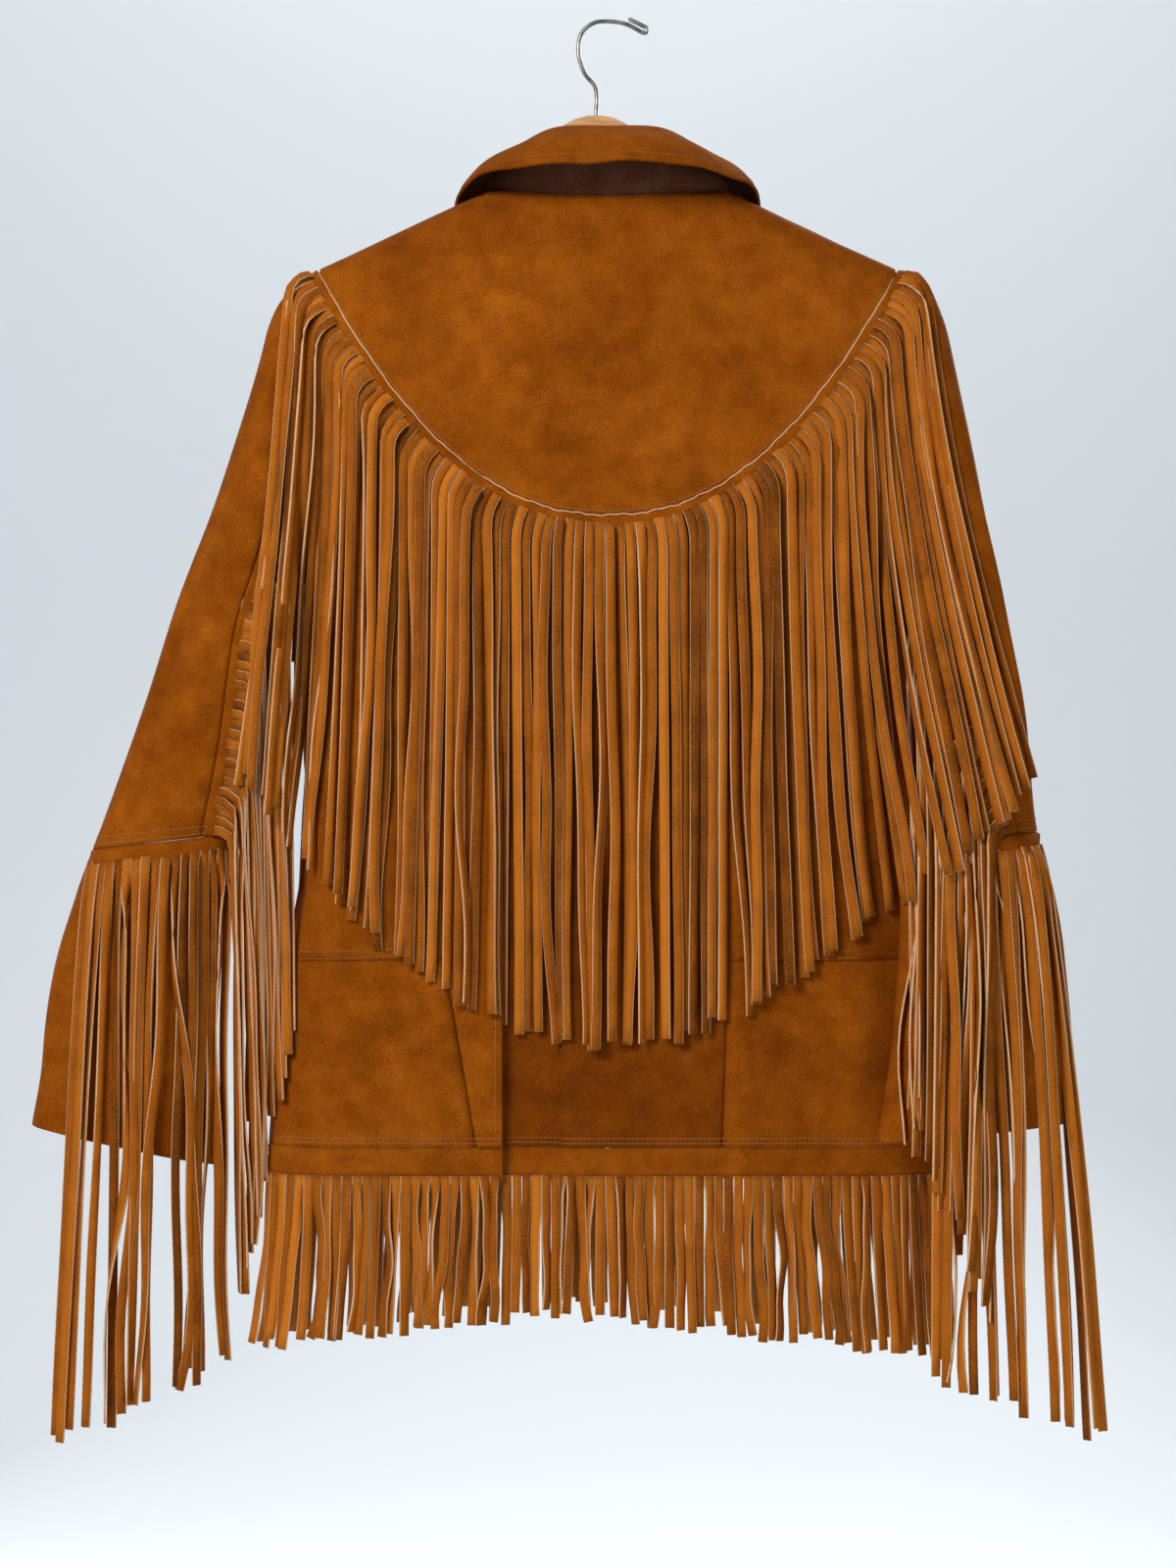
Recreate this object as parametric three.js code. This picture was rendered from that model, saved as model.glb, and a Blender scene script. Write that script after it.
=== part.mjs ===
// A fringed suede jacket on a wooden hanger, seen hanging from the hanger's hook.
//
// Millimetres, +Z up.  The origin is the inside of the top of the hook.  The
// jacket's back faces -Y and its fronts face +Y, so "left" is the wearer's left
// as seen from behind, at -X.  Every cloth piece is a wall of suede laid out on
// one shared surface of the body or of a sleeve, cut off SEAM short of the next
// piece.  Fringe is a plain plate of its reach, which rests on what is under it.

import * as THREE from 'three';

// ---- Driving dimensions ------------------------------------------------------

const SUEDE = 1.6;               // thickness of the suede
const SEAM = 0.3;                // gap left between two pieces that are sewn together
const CURVED_SEAM = 0.9;         // and along the curved yoke, which is cut in flats
const ARMHOLE_SEAM = 1.5;        // and round the armhole
const NECK_HALF = 92;            // half the neck opening, at the shoulders
const NECK_BACK = 38;            // how far the neck opening reaches behind the hanger
const NECK_FRONT = 36;           // and in front of it
const NECK_Z = -126;             // height of the neck at the shoulders
const NECK_DIP_BACK = 8;         // how much lower the neckline lies at centre back
const NECK_DIP_FRONT = 76;       // and at centre front
const TIP_X = 215;               // shoulder tip
const TIP_Z = -183;
const ARMHOLE_X = 199;           // narrowest place of the armhole
const ARMPIT_X = 226;
const ARMPIT_Z = -425;
const SHOULDER_ROLL = 58;        // height over which the shoulder turns down
const SIDE_ROLL = 72;            // width over which the body turns to its side seam
const YOKE_DROP = 185;           // the yoke seam falls this far from tip to centre back
const FRONT_YOKE_DROP = 122;
const YOKE_CURVE = 2.2;          // 1 would be a straight V
const WAIST_Z = -693;            // waist seam of the side panels
const HEM_Z = -830;
const YOKE_STRAND = 386;         // length of the fringe along the back yoke
const FRONT_STRAND = 300;
const SLEEVE_STRAND = 360;       // fringe of the back seam of a sleeve
const ELBOW_STRAND = 436;
const VENT_TOP = -560;           // the vent opens below here
const VENT_X = -77;              // free edge of the vent
const VENT_LAP = 22;             // the underlap reaches this far under the flap
const VENT_DEPTH = 9;            // and lies this far inside it
const FOLD_X = -33;              // where the underlap folds back out
const HANGER_THICK = 11;
const HOOK_WIRE = 3.2;

// Half width and half depths of the body, down its height.
const BODY = {
  columns: ['z', 'left', 'right', 'back', 'front'],
  rows: [
    [-100, 226, 226, 38, 32],
    [-330, 226, 226, 43, 36],
    [-450, 226, 226, 43, 38],
    [-560, 226, 226, 40, 37],
    [-640, 230, 230, 38, 36],
    [-710, 243, 237, 36, 35],
    [-830, 252, 250, 35, 34],
    [-1000, 262, 268, 31, 30],
  ],
};

// Sleeve sections from the shoulder to the cuff: the outer and inner ends of each,
// its half depth, how far behind the hanger it lies, and where round it the back
// seam runs (0 is the outer end, 90 the back, 180 the inner end).
const SLEEVE_COLUMNS = ['outerX', 'outerZ', 'innerX', 'innerZ', 'depth', 'y', 'seam'];
const SLEEVES = {
  left: [
    [216, -183, 227, -425, 0, 0, 92],
    [232, -195, 229.5, -431, 33, 0, 93],
    [248, -216, 231, -437, 38, 0, 94],
    [258, -252, 232, -443, 41, -1, 95],
    [284, -338, 233, -452, 43, -2, 96],
    [318, -430, 236, -468, 43, -3, 98],
    [350, -528, 250, -535, 42, -4, 110],
    [381, -612, 270, -600, 42, -4, 122],
    [398, -660, 279, -648, 42, -4, 124],
    [412, -715, 286, -700, 40, -5, 124],
    [418, -772, 288, -770, 37, -6, 124],
    [425, -815, 281, -845, 33, -7, 124],
  ],
  right: [
    [216, -183, 227, -425, 0, 0, 130],
    [230, -184, 229.5, -431, 33, 0, 130],
    [244, -207, 231, -437, 38, -3, 130],
    [255, -248, 231.5, -443, 40, -8, 128],
    [272, -338, 231, -452, 41, -17, 126],
    [289, -430, 229.5, -468, 40, -29, 122],
    [303, -512, 224, -530, 38, -45, 88],
    [311, -598, 214, -604, 38, -56, 49],
    [323, -642, 212, -650, 37, -59, 46],
    [331, -700, 209, -705, 36, -62, 46],
    [335, -760, 203, -765, 34, -64, 46],
    [338, -806, 194, -822, 30, -66, 46],
  ],
};
const ELBOW = 7;                 // the section that carries the elbow seam
const CUFF = 11;

// The collar, from centre back round to its point in front: the neckline, the
// fold along its top and the outer edge of the leaf.
const COLLAR = {
  columns: ['baseX', 'baseY', 'baseZ', 'foldX', 'foldY', 'foldZ', 'edgeX', 'edgeY', 'edgeZ'],
  rows: [
    [0, -38, -132.5, 0, -36, -84, 0, -80, -119],
    [40, -34, -131, 38, -32, -84.5, 46, -77, -119],
    [74, -22, -127, 64, -18, -96, 84, -56, -122],
    [91, 0, -124, 80, 0, -108, 109, -10, -129],
    [84, 15, -142, 77, 19, -130, 113, 36, -151],
    [62, 27, -171, 58, 34, -158, 101, 49, -188],
    [30, 34, -193.5, 28, 41, -186, 70, 52, -226],
  ],
};

// ---- Small functions ------------------------------------------------------------

const { clamp, lerp, smoothstep, degToRad } = THREE.MathUtils;

// A named column of the body's table, read between its rows.
function bodySize(name, z) {
  const key = BODY.columns.indexOf(name);
  let i = 1;
  while (i < BODY.rows.length - 1 && BODY.rows[i][0] > z) {
    i += 1;
  }
  const above = BODY.rows[i - 1];
  const below = BODY.rows[i];
  const t = clamp((z - above[0]) / (below[0] - above[0]), 0, 1);
  return lerp(above[key], below[key], t);
}

// A smooth value between the rows of a table, at row number q.
function splineColumn(rows, key, q) {
  const last = rows.length - 1;
  const i = clamp(Math.floor(q), 0, last - 1);
  const at = (k) => rows[clamp(k, 0, last)][key];
  const t = q - i;
  const [a, b, c, d] = [at(i - 1), at(i), at(i + 1), at(i + 2)];
  return b + 0.5 * t * (c - a + t * (2 * a - 5 * b + 4 * c - d + t * (3 * (b - c) + d - a)));
}

// ---- The body's surface ----------------------------------------------------------

// Height of the neckline and the shoulder line over x.
function topLine(x, side) {
  const over = Math.abs(x);
  const dip = side < 0 ? NECK_DIP_BACK : NECK_DIP_FRONT;
  if (over < NECK_HALF) {
    return NECK_Z - dip * (1 - (over / NECK_HALF) ** 2) ** (side < 0 ? 1 : 0.8);
  }
  return lerp(NECK_Z, TIP_Z, (over - NECK_HALF) / (TIP_X - NECK_HALF));
}

function neckDepth(x, side) {
  const inside = 1 - Math.min(1, Math.abs(x) / NECK_HALF) ** 2;
  return (side < 0 ? NECK_BACK : NECK_FRONT) * Math.sqrt(inside);
}

function halfWidth(x, z) {
  return bodySize(x < 0 ? 'left' : 'right', z);
}

// Depth of the body behind (side -1) or before (side 1) the hanger at x, z.
function bodyDepth(x, z, side) {
  const half = halfWidth(x, z);
  const over = clamp((Math.abs(x) - (half - SIDE_ROLL)) / SIDE_ROLL, 0, 1);
  const round = Math.sqrt(1 - over ** 2) * (1 - 0.1 * (x / half) ** 2);
  const full = bodySize(side < 0 ? 'back' : 'front', z) * round;
  const drop = clamp((topLine(x, side) - z) / SHOULDER_ROLL, 0, 1);
  const turn = Math.sqrt(1 - (1 - drop) ** 2);
  const neck = Math.min(neckDepth(x, side), full);
  return neck + (full - neck) * turn;
}

// The underlap of the vent lies inside the rest of the back.
function ventRecess(x, z) {
  const across = 1 - smoothstep(x, FOLD_X - 8, FOLD_X + 4);
  const up = 1 - smoothstep(z, VENT_TOP, VENT_TOP + 60);
  return VENT_DEPTH * across * up;
}

function armholeX(z) {
  const t = clamp((TIP_Z - z) / (TIP_Z - ARMPIT_Z), 0, 1);
  return lerp(TIP_X, ARMPIT_X, t) - (lerp(TIP_X, ARMPIT_X, 0.5) - ARMHOLE_X) * Math.sin(Math.PI * t) ** 1.3;
}

// Where a piece ends at the side: at the armhole, and at the side seam below it.
function sideX(hand, z) {
  return z > ARMPIT_Z ? armholeX(z) - ARMHOLE_SEAM : halfWidth(hand, z) - SEAM;
}

function yokeSeam(x, side) {
  const drop = side < 0 ? YOKE_DROP : FRONT_YOKE_DROP;
  return TIP_Z - drop * (1 - (Math.min(Math.abs(x), TIP_X) / TIP_X) ** YOKE_CURVE);
}

// The princess seams, from the yoke to the hem.
function princessX(hand, z) {
  const [top, hem] = hand < 0 ? [-119, -96] : [88, 84];
  return lerp(top, hem, clamp((WAIST_Z - z) / (WAIST_Z - HEM_Z), 0, 1));
}

// ---- Walls -----------------------------------------------------------------------

// A closed wall over a grid: outer[i][j] is a point and inner[i][j] the one under it.
function wallGeometry(outer, inner, wrap = false) {
  const rows = outer.length;
  const columns = outer[0].length;
  const positions = [...outer.flat(), ...inner.flat()].flatMap((p) => [p.x, p.y, p.z]);
  const at = (layer, i, j) => layer * rows * columns + i * columns + (j % columns);
  const faces = [];
  const quad = (a, b, c, d) => faces.push(a, b, c, a, c, d);
  const across = wrap ? columns : columns - 1;
  for (let i = 0; i < rows - 1; i += 1) {
    for (let j = 0; j < across; j += 1) {
      quad(at(0, i, j), at(0, i + 1, j), at(0, i + 1, j + 1), at(0, i, j + 1));
      quad(at(1, i, j), at(1, i, j + 1), at(1, i + 1, j + 1), at(1, i + 1, j));
    }
  }
  for (let j = 0; j < across; j += 1) {
    quad(at(0, 0, j), at(0, 0, j + 1), at(1, 0, j + 1), at(1, 0, j));
    quad(at(0, rows - 1, j), at(1, rows - 1, j), at(1, rows - 1, j + 1), at(0, rows - 1, j + 1));
  }
  for (let i = 0; i < rows - 1 && !wrap; i += 1) {
    quad(at(0, i, 0), at(1, i, 0), at(1, i + 1, 0), at(0, i + 1, 0));
    quad(at(0, i, columns - 1), at(0, i + 1, columns - 1), at(1, i + 1, columns - 1), at(1, i, columns - 1));
  }
  const geometry = new THREE.BufferGeometry();
  geometry.setAttribute('position', new THREE.Float32BufferAttribute(positions, 3));
  geometry.setIndex(signedVolume(positions, faces) < 0 ? faces.reverse() : faces);
  geometry.computeVertexNormals();
  return geometry;
}

function signedVolume(positions, faces) {
  const point = (k) => new THREE.Vector3().fromArray(positions, 3 * k);
  let six = 0;
  for (let k = 0; k < faces.length; k += 3) {
    six += point(faces[k]).dot(point(faces[k + 1]).cross(point(faces[k + 2])));
  }
  return six;
}

// Lays a piece on a surface: layout(u, v) gives the surface's own two numbers, and
// surface(a, b) the point there.  The wall goes inward from it.
function layPiece(surface, layout, columns, rows, options) {
  const { step, flip = 1, raise = 0, wall = SUEDE, wrap = false } = options;
  const outer = [];
  const inner = [];
  for (let i = 0; i <= rows; i += 1) {
    const outerRow = [];
    const innerRow = [];
    for (let j = 0; j < columns + (wrap ? 0 : 1); j += 1) {
      const [a, b] = layout(j / columns, i / rows);
      const point = surface(a, b);
      const alongA = surface(a + step[0], b).sub(surface(a - step[0], b));
      const alongB = surface(a, b + step[1]).sub(surface(a, b - step[1]));
      const outward = alongA.cross(alongB).normalize().multiplyScalar(flip);
      outerRow.push(point.clone().addScaledVector(outward, raise));
      innerRow.push(point.clone().addScaledVector(outward, raise - wall));
    }
    outer.push(outerRow);
    inner.push(innerRow);
  }
  return wallGeometry(outer, inner, wrap);
}

const suede = { color: 0x8d480d, roughness: 0.95, metalness: 0 };
const fringeSuede = { color: 0x96541d, roughness: 0.9, metalness: 0 };
const darkSuede = { color: 0x492b1d, roughness: 0.95, metalness: 0 };

const jacket = new THREE.Group();

function addPiece(name, geometry, finish) {
  const mesh = new THREE.Mesh(geometry, new THREE.MeshStandardMaterial(finish));
  mesh.name = name;
  jacket.add(mesh);
  return mesh;
}

// ---- Body pieces ------------------------------------------------------------------

// The body's surface by x and by s, the way down from the neckline or shoulder.
// The first SHOULDER_ROLL of it is the roll, which s goes round as an angle.
function bodySurface(side, recess = false) {
  return (x, s) => {
    const drop = s < 1 ? SHOULDER_ROLL * (1 - Math.cos(s * Math.PI / 2)) : SHOULDER_ROLL * s;
    const top = topLine(x, side);
    const z = top - drop;
    let y = bodyDepth(x, z, side);
    if (s < 0) {
      y = neckDepth(x, side) * 2 - y;
    }
    return new THREE.Vector3(x, side * (y - (recess ? ventRecess(x, z) : 0)), z);
  };
}

// Turns a height into s.
function wayDown(x, z, side) {
  const drop = Math.max(0, topLine(x, side) - z) / SHOULDER_ROLL;
  return drop < 1 ? Math.acos(1 - drop) / (Math.PI / 2) : drop;
}

// A piece between two upright edges and a top and a bottom line.  Its rows crowd
// towards the top and its columns towards the side seam, where the body turns.
function bodyPiece(name, side, columns, rows, { from, to, top, bottom, recess = false, crowd = 1 }) {
  const layout = (u, v) => {
    const across = crowd > 1 ? Math.sin(u * Math.PI / 2) : u;
    let x = lerp(from(HEM_Z), to(HEM_Z), across);
    let z = TIP_Z;
    for (let pass = 0; pass < 12; pass += 1) {
      z = lerp(top(x), bottom(x), v ** crowd);
      x = lerp(from(z), to(z), across);
    }
    return [x, wayDown(x, z, side)];
  };
  const finish = name.includes('fringe') ? fringeSuede : suede;
  const options = { step: [0.3, 0.004], flip: side };
  return addPiece(name, layPiece(bodySurface(side, recess), layout, columns, rows, options), finish);
}

const HALF_SEAM = SEAM / 2;
const YOKE_END = TIP_X - 2;
const FRONT_GAP = 1.5;
const hemFringeEnd = (x) => -952 - 0.12 * Math.abs(x + 30);
const ventEdge = () => VENT_X;
const underlapEdge = (z) => {
  const open = 1 - smoothstep(z, VENT_TOP - 50, VENT_TOP - 5);
  return VENT_X + SEAM - (VENT_LAP + SEAM) * open;
};

bodyPiece('yoke_back', -1, 22, 6, {
  from: () => -YOKE_END,
  to: () => YOKE_END,
  top: (x) => topLine(x, -1) - HALF_SEAM,
  bottom: (x) => yokeSeam(x, -1) + HALF_SEAM,
});
bodyPiece('back_centre_left', -1, 2, 9, {
  from: (z) => princessX(-1, z) + HALF_SEAM,
  to: ventEdge,
  top: (x) => yokeSeam(x, -1) - CURVED_SEAM,
  bottom: () => HEM_Z + HALF_SEAM,
});
bodyPiece('back_centre_right', -1, 12, 9, {
  from: underlapEdge,
  to: (z) => princessX(1, z) - HALF_SEAM,
  top: (x) => yokeSeam(x, -1) - CURVED_SEAM,
  bottom: () => HEM_Z + HALF_SEAM,
  recess: true,
});
bodyPiece('hem_fringe_back_left', -1, 8, 3, {
  from: (z) => -halfWidth(-1, z) + SEAM,
  to: ventEdge,
  top: () => HEM_Z - HALF_SEAM,
  bottom: hemFringeEnd,
});
bodyPiece('hem_fringe_back_right', -1, 14, 3, {
  from: underlapEdge,
  to: (z) => halfWidth(1, z) - SEAM,
  top: () => HEM_Z - HALF_SEAM,
  bottom: hemFringeEnd,
  recess: true,
});

for (const [label, hand] of [['left', -1], ['right', 1]]) {
  const princess = (z) => princessX(hand, z) + hand * HALF_SEAM;
  const side = (z) => hand * sideX(hand, z);
  bodyPiece(`back_side_${label}_upper`, -1, 8, 6, {
    from: princess,
    to: side,
    top: (x) => yokeSeam(x, -1) - CURVED_SEAM,
    bottom: () => WAIST_Z + HALF_SEAM,
    crowd: 1.01,
  });
  bodyPiece(`back_side_${label}_lower`, -1, 6, 3, {
    from: princess,
    to: side,
    top: () => WAIST_Z - HALF_SEAM,
    bottom: () => HEM_Z + HALF_SEAM,
    crowd: 1.01,
  });
  bodyPiece(`front_yoke_${label}`, 1, 11, 5, {
    from: () => hand * FRONT_GAP,
    to: () => hand * YOKE_END,
    top: (x) => topLine(x, 1) - HALF_SEAM,
    bottom: (x) => yokeSeam(x, 1) + HALF_SEAM,
  });
  bodyPiece(`front_${label}`, 1, 8, 8, {
    from: () => hand * FRONT_GAP,
    to: side,
    top: (x) => yokeSeam(x, 1) - CURVED_SEAM,
    bottom: () => HEM_Z + HALF_SEAM,
    crowd: 1.01,
  });
  bodyPiece(`hem_fringe_front_${label}`, 1, 8, 3, {
    from: () => hand * FRONT_GAP,
    to: (z) => hand * (halfWidth(hand, z) - SEAM),
    top: () => HEM_Z - HALF_SEAM,
    bottom: hemFringeEnd,
    crowd: 1.01,
  });
}

// ---- Sleeves ----------------------------------------------------------------------

// A sleeve's surface by the angle round it, in degrees, and the section number.
function sleeveSurface(rows, hand) {
  const at = (name, q) => splineColumn(rows, SLEEVE_COLUMNS.indexOf(name), q);
  const section = (angle, q) => {
    const turn = Math.cos(degToRad(angle));
    const x = lerp(at('innerX', q), at('outerX', q), (1 + turn) / 2);
    const z = lerp(at('innerZ', q), at('outerZ', q), (1 + turn) / 2);
    return new THREE.Vector3(hand * x, at('y', q) - at('depth', q) * Math.sin(degToRad(angle)), z);
  };
  const armhole = (angle) => {
    const z = lerp(ARMPIT_Z, TIP_Z, (1 + Math.cos(degToRad(angle))) / 2);
    const side = Math.sin(degToRad(angle)) > 0 ? -1 : 1;
    const x = armholeX(z);
    return new THREE.Vector3(hand * (x + CURVED_SEAM), side * bodyDepth(hand * x, z, side), z);
  };
  return (angle, q) => (q >= 1 ? section(angle, q) : armhole(angle).lerp(section(angle, 1), q));
}

function seamAngle(rows, q) {
  return splineColumn(rows, SLEEVE_COLUMNS.indexOf('seam'), q);
}

const SEAM_ANGLE = 0.25;
const SEAM_STEP = 0.005;
for (const [label, hand] of [['left', -1], ['right', 1]]) {
  const rows = SLEEVES[label];
  const surface = sleeveSurface(rows, hand);
  const options = { step: [0.5, 0.003], flip: hand };
  const half = (start) => (u, v) => {
    const q = lerp(0, ELBOW - SEAM_STEP, v);
    return [seamAngle(rows, q) + lerp(start + SEAM_ANGLE, start + 180 - SEAM_ANGLE, u), q];
  };
  const tube = (u, v) => [u * 360, lerp(ELBOW + SEAM_STEP, CUFF, v)];
  addPiece(`top_sleeve_${label}`, layPiece(surface, half(-180), 7, 11, options), suede);
  addPiece(`under_sleeve_${label}`, layPiece(surface, half(0), 7, 11, options), suede);
  addPiece(`lower_sleeve_${label}`, layPiece(surface, tube, 14, 5, { ...options, wrap: true }), suede);
}

// ---- Fringe ---------------------------------------------------------------------

// What the fringe rests on: the depth of the pieces made so far, on a net of x and z,
// read from behind (side -1) or from the front (side 1) and softened.
const NET = { cell: 10, minX: -440, maxX: 370, minZ: -1120, maxZ: -120 };
const NET_COLUMNS = (NET.maxX - NET.minX) / NET.cell + 1;
const NET_ROWS = (NET.maxZ - NET.minZ) / NET.cell + 1;
const NET_GROWTHS = 2;
const NET_SOFTENINGS = 2;

function mapNet(net, rule) {
  return net.map((row, i) => row.map((_, j) => rule(i, j)));
}

function around(net, i, j) {
  const near = [];
  for (const k of [i - 1, i, i + 1]) {
    for (const l of [j - 1, j, j + 1]) {
      if (net[k] && Number.isFinite(net[k][l])) {
        near.push(net[k][l]);
      }
    }
  }
  return near;
}

const mean = (values) => values.reduce((a, b) => a + b, 0) / values.length;

function restingDepth(side, names) {
  let net = Array.from({ length: NET_ROWS }, () => Array(NET_COLUMNS).fill(-Infinity));
  const meshes = jacket.children.filter((mesh) => names.test(mesh.name));
  for (const { geometry } of meshes) {
    const at = (k) => new THREE.Vector3().fromBufferAttribute(geometry.attributes.position, k);
    const corners = geometry.index.array;
    for (let k = 0; k < corners.length; k += 3) {
      raiseNet(net, side, [at(corners[k]), at(corners[k + 1]), at(corners[k + 2])]);
    }
  }
  const tallest = (i, j) => Math.max(...around(net, i, j));
  for (let pass = 0; pass < NET_GROWTHS; pass += 1) {
    net = mapNet(net, (i, j) => (around(net, i, j).length ? tallest(i, j) : -Infinity));
  }
  for (let pass = 0; pass < NET_ROWS; pass += 1) {
    const before = net;
    net = mapNet(net, (i, j) => {
      const near = around(before, i, j);
      return Number.isFinite(before[i][j]) || !near.length ? before[i][j] : mean(near);
    });
  }
  for (let pass = 0; pass < NET_SOFTENINGS; pass += 1) {
    const before = net;
    net = mapNet(net, (i, j) => mean(around(before, i, j)));
  }
  return (x, z) => {
    const j = clamp((x - NET.minX) / NET.cell, 0, NET_COLUMNS - 1.001);
    const i = clamp((z - NET.minZ) / NET.cell, 0, NET_ROWS - 1.001);
    const [r, c] = [Math.floor(i), Math.floor(j)];
    const low = lerp(net[r][c], net[r][c + 1], j - c);
    const high = lerp(net[r + 1][c], net[r + 1][c + 1], j - c);
    return lerp(low, high, i - r);
  };
}

function raiseNet(net, side, [a, b, c]) {
  const area = (b.x - a.x) * (c.z - a.z) - (c.x - a.x) * (b.z - a.z);
  if (Math.abs(area) < 1e-6) {
    return;
  }
  const low = (key, start) => Math.ceil((Math.min(a[key], b[key], c[key]) - start) / NET.cell);
  const high = (key, start) => Math.floor((Math.max(a[key], b[key], c[key]) - start) / NET.cell);
  for (let i = low('z', NET.minZ); i <= high('z', NET.minZ); i += 1) {
    for (let j = low('x', NET.minX); j <= high('x', NET.minX); j += 1) {
      const [x, z] = [NET.minX + j * NET.cell, NET.minZ + i * NET.cell];
      const u = ((x - a.x) * (c.z - a.z) - (c.x - a.x) * (z - a.z)) / area;
      const v = ((b.x - a.x) * (z - a.z) - (x - a.x) * (b.z - a.z)) / area;
      if (u >= 0 && v >= 0 && u + v <= 1 && net[i]) {
        const depth = side * (a.y + u * (b.y - a.y) + v * (c.y - a.y));
        net[i][j] = Math.max(net[i][j], depth);
      }
    }
  }
}

const FRINGE_CLEAR = 2.5;
const FALL_BACK = 0.12;          // fringe that hangs free swings in by this much of its drop

// A plate of fringe between its seam and its ends, laid on what is under it.
// strand(u) gives the seam point and the end point of the strand there.
function fringePlate(name, side, columns, rows, under, strand, thick = 2.4) {
  const depth = restingDepth(side, under);
  const outer = [];
  const inner = [];
  const hanging = Array(columns + 1).fill(0);
  for (let i = 0; i <= rows; i += 1) {
    const v = i / rows;
    const points = [];
    for (let j = 0; j <= columns; j += 1) {
      const { x, z, endX, endZ } = strand(j / columns);
      const [px, pz] = [lerp(x, endX, Math.sqrt(v)), lerp(z, endZ, v)];
      const fallen = hanging[j] - FALL_BACK * (z - endZ) / rows;
      hanging[j] = Math.max(depth(px, pz) + FRINGE_CLEAR, i ? fallen : -Infinity);
      points.push(new THREE.Vector3(px, side * hanging[j], pz));
    }
    inner.push(points);
    outer.push(points.map((p) => new THREE.Vector3(p.x, p.y + side * thick, p.z)));
  }
  return addPiece(name, wallGeometry(outer, inner), fringeSuede);
}

// The elbow fringe hangs from the elbow seam, and the sleeve fringe over it.
const elbowPoint = (hand, rows, angle) => sleeveSurface(rows, hand)(angle, ELBOW);
const ELBOW_FRINGE = {
  left: { from: 8, to: 150, outerDrift: 20, innerDrift: 4 },
  right: { from: 4, to: 70, outerDrift: 38, innerDrift: -8 },
};
for (const [label, hand] of [['left', -1], ['right', 1]]) {
  const rows = SLEEVES[label];
  const { from, to, outerDrift, innerDrift } = ELBOW_FRINGE[label];
  fringePlate(`elbow_fringe_${label}`, -1, 6, 9, /sleeve/, (u) => {
    const outward = hand < 0 ? u : 1 - u;
    const top = elbowPoint(hand, rows, lerp(from, to, outward));
    const endZ = top.z - lerp(ELBOW_STRAND, ELBOW_STRAND - 50, outward);
    const endX = top.x + hand * lerp(outerDrift, innerDrift, outward);
    return { x: top.x, z: top.z - 2, endX, endZ };
  });
}
for (const [label, hand] of [['left', -1], ['right', 1]]) {
  const rows = SLEEVES[label];
  const surface = sleeveSurface(rows, hand);
  fringePlate(`sleeve_fringe_${label}`, -1, 4, 12, /sleeve|elbow|back_side|hem/, (u) => {
    const q = lerp(4.7, ELBOW, hand < 0 ? 1 - u : u);
    const top = surface(seamAngle(rows, q), q);
    return { x: top.x, z: top.z, endX: top.x - hand * 14, endZ: top.z - SLEEVE_STRAND };
  });
}
fringePlate('yoke_fringe_back', -1, 22, 11, /back|sleeve|elbow/, (u) => {
  const x = lerp(-YOKE_END, YOKE_END, u);
  const swing = Math.sign(x) * (Math.abs(x) / TIP_X) ** 4 * (x < 0 ? 36 : 70);
  const z = yokeSeam(x, -1);
  return { x, z: z - 2, endX: x + swing, endZ: z - YOKE_STRAND + Math.abs(swing) };
});
for (const [label, hand] of [['left', -1], ['right', 1]]) {
  fringePlate(`yoke_fringe_front_${label}`, 1, 9, 6, /front|sleeve/, (u) => {
    const x = hand * lerp(FRONT_GAP, YOKE_END, u);
    const z = yokeSeam(x, 1);
    return { x, z: z - 2, endX: x + hand * 20 * u ** 4, endZ: z - FRONT_STRAND };
  });
}

// ---- Collar ----------------------------------------------------------------------

const COLLAR_ENDS = COLLAR.rows.length - 1;

function collarSurface(lower, upper) {
  return (a, t) => {
    const at = (kind, axis) => splineColumn(COLLAR.rows, COLLAR.columns.indexOf(kind + axis), Math.abs(a));
    const between = (axis) => lerp(at(lower, axis), at(upper, axis), t);
    return new THREE.Vector3(Math.sign(a) * between('X'), between('Y'), between('Z'));
  };
}

const roundNeck = (u, v) => [lerp(-COLLAR_ENDS, COLLAR_ENDS, u), v];
const collarOptions = { step: [0.01, 0.01] };
const stand = collarSurface('base', 'fold');
const leaf = collarSurface('fold', 'edge');
addPiece('collar_stand', layPiece(stand, roundNeck, 20, 1, { ...collarOptions, flip: 1 }), darkSuede);
const leafOptions = { ...collarOptions, flip: -1, raise: SUEDE + 0.5 };
addPiece('collar_leaf', layPiece(leaf, roundNeck, 20, 2, leafOptions), suede);

// ---- Hanger ------------------------------------------------------------------------

const CROWN = { x: -8.6, z: -112, radius: 43 };
const ARM_END = 196;
const ARM_CLEAR = 9;             // the arms lie this far below the shoulder line
const ARM_DEEP = 16;             // the arms' height at their ends
const NECK_DIP = -96;            // highest that the board gets beside its crown
const WAIST_OF_BOARD = { x: 90, z: -148, middle: -130 };  // its lower edge
const BESIDE_CROWN = { rise: 34, from: 30, slope: 0.5645 };

function hangerTop(x) {
  const over = Math.abs(x - CROWN.x);
  const crown = over < CROWN.radius ? CROWN.z + Math.sqrt(CROWN.radius ** 2 - over ** 2) : -Infinity;
  const past = Math.max(0, Math.abs(x) - BESIDE_CROWN.from);
  const slope = NECK_Z - ARM_CLEAR + BESIDE_CROWN.rise - past * BESIDE_CROWN.slope;
  const arm = Math.abs(x) > NECK_HALF ? topLine(x, -1) - ARM_CLEAR : Math.min(slope, NECK_DIP);
  return Math.max(crown, arm);
}

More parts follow.
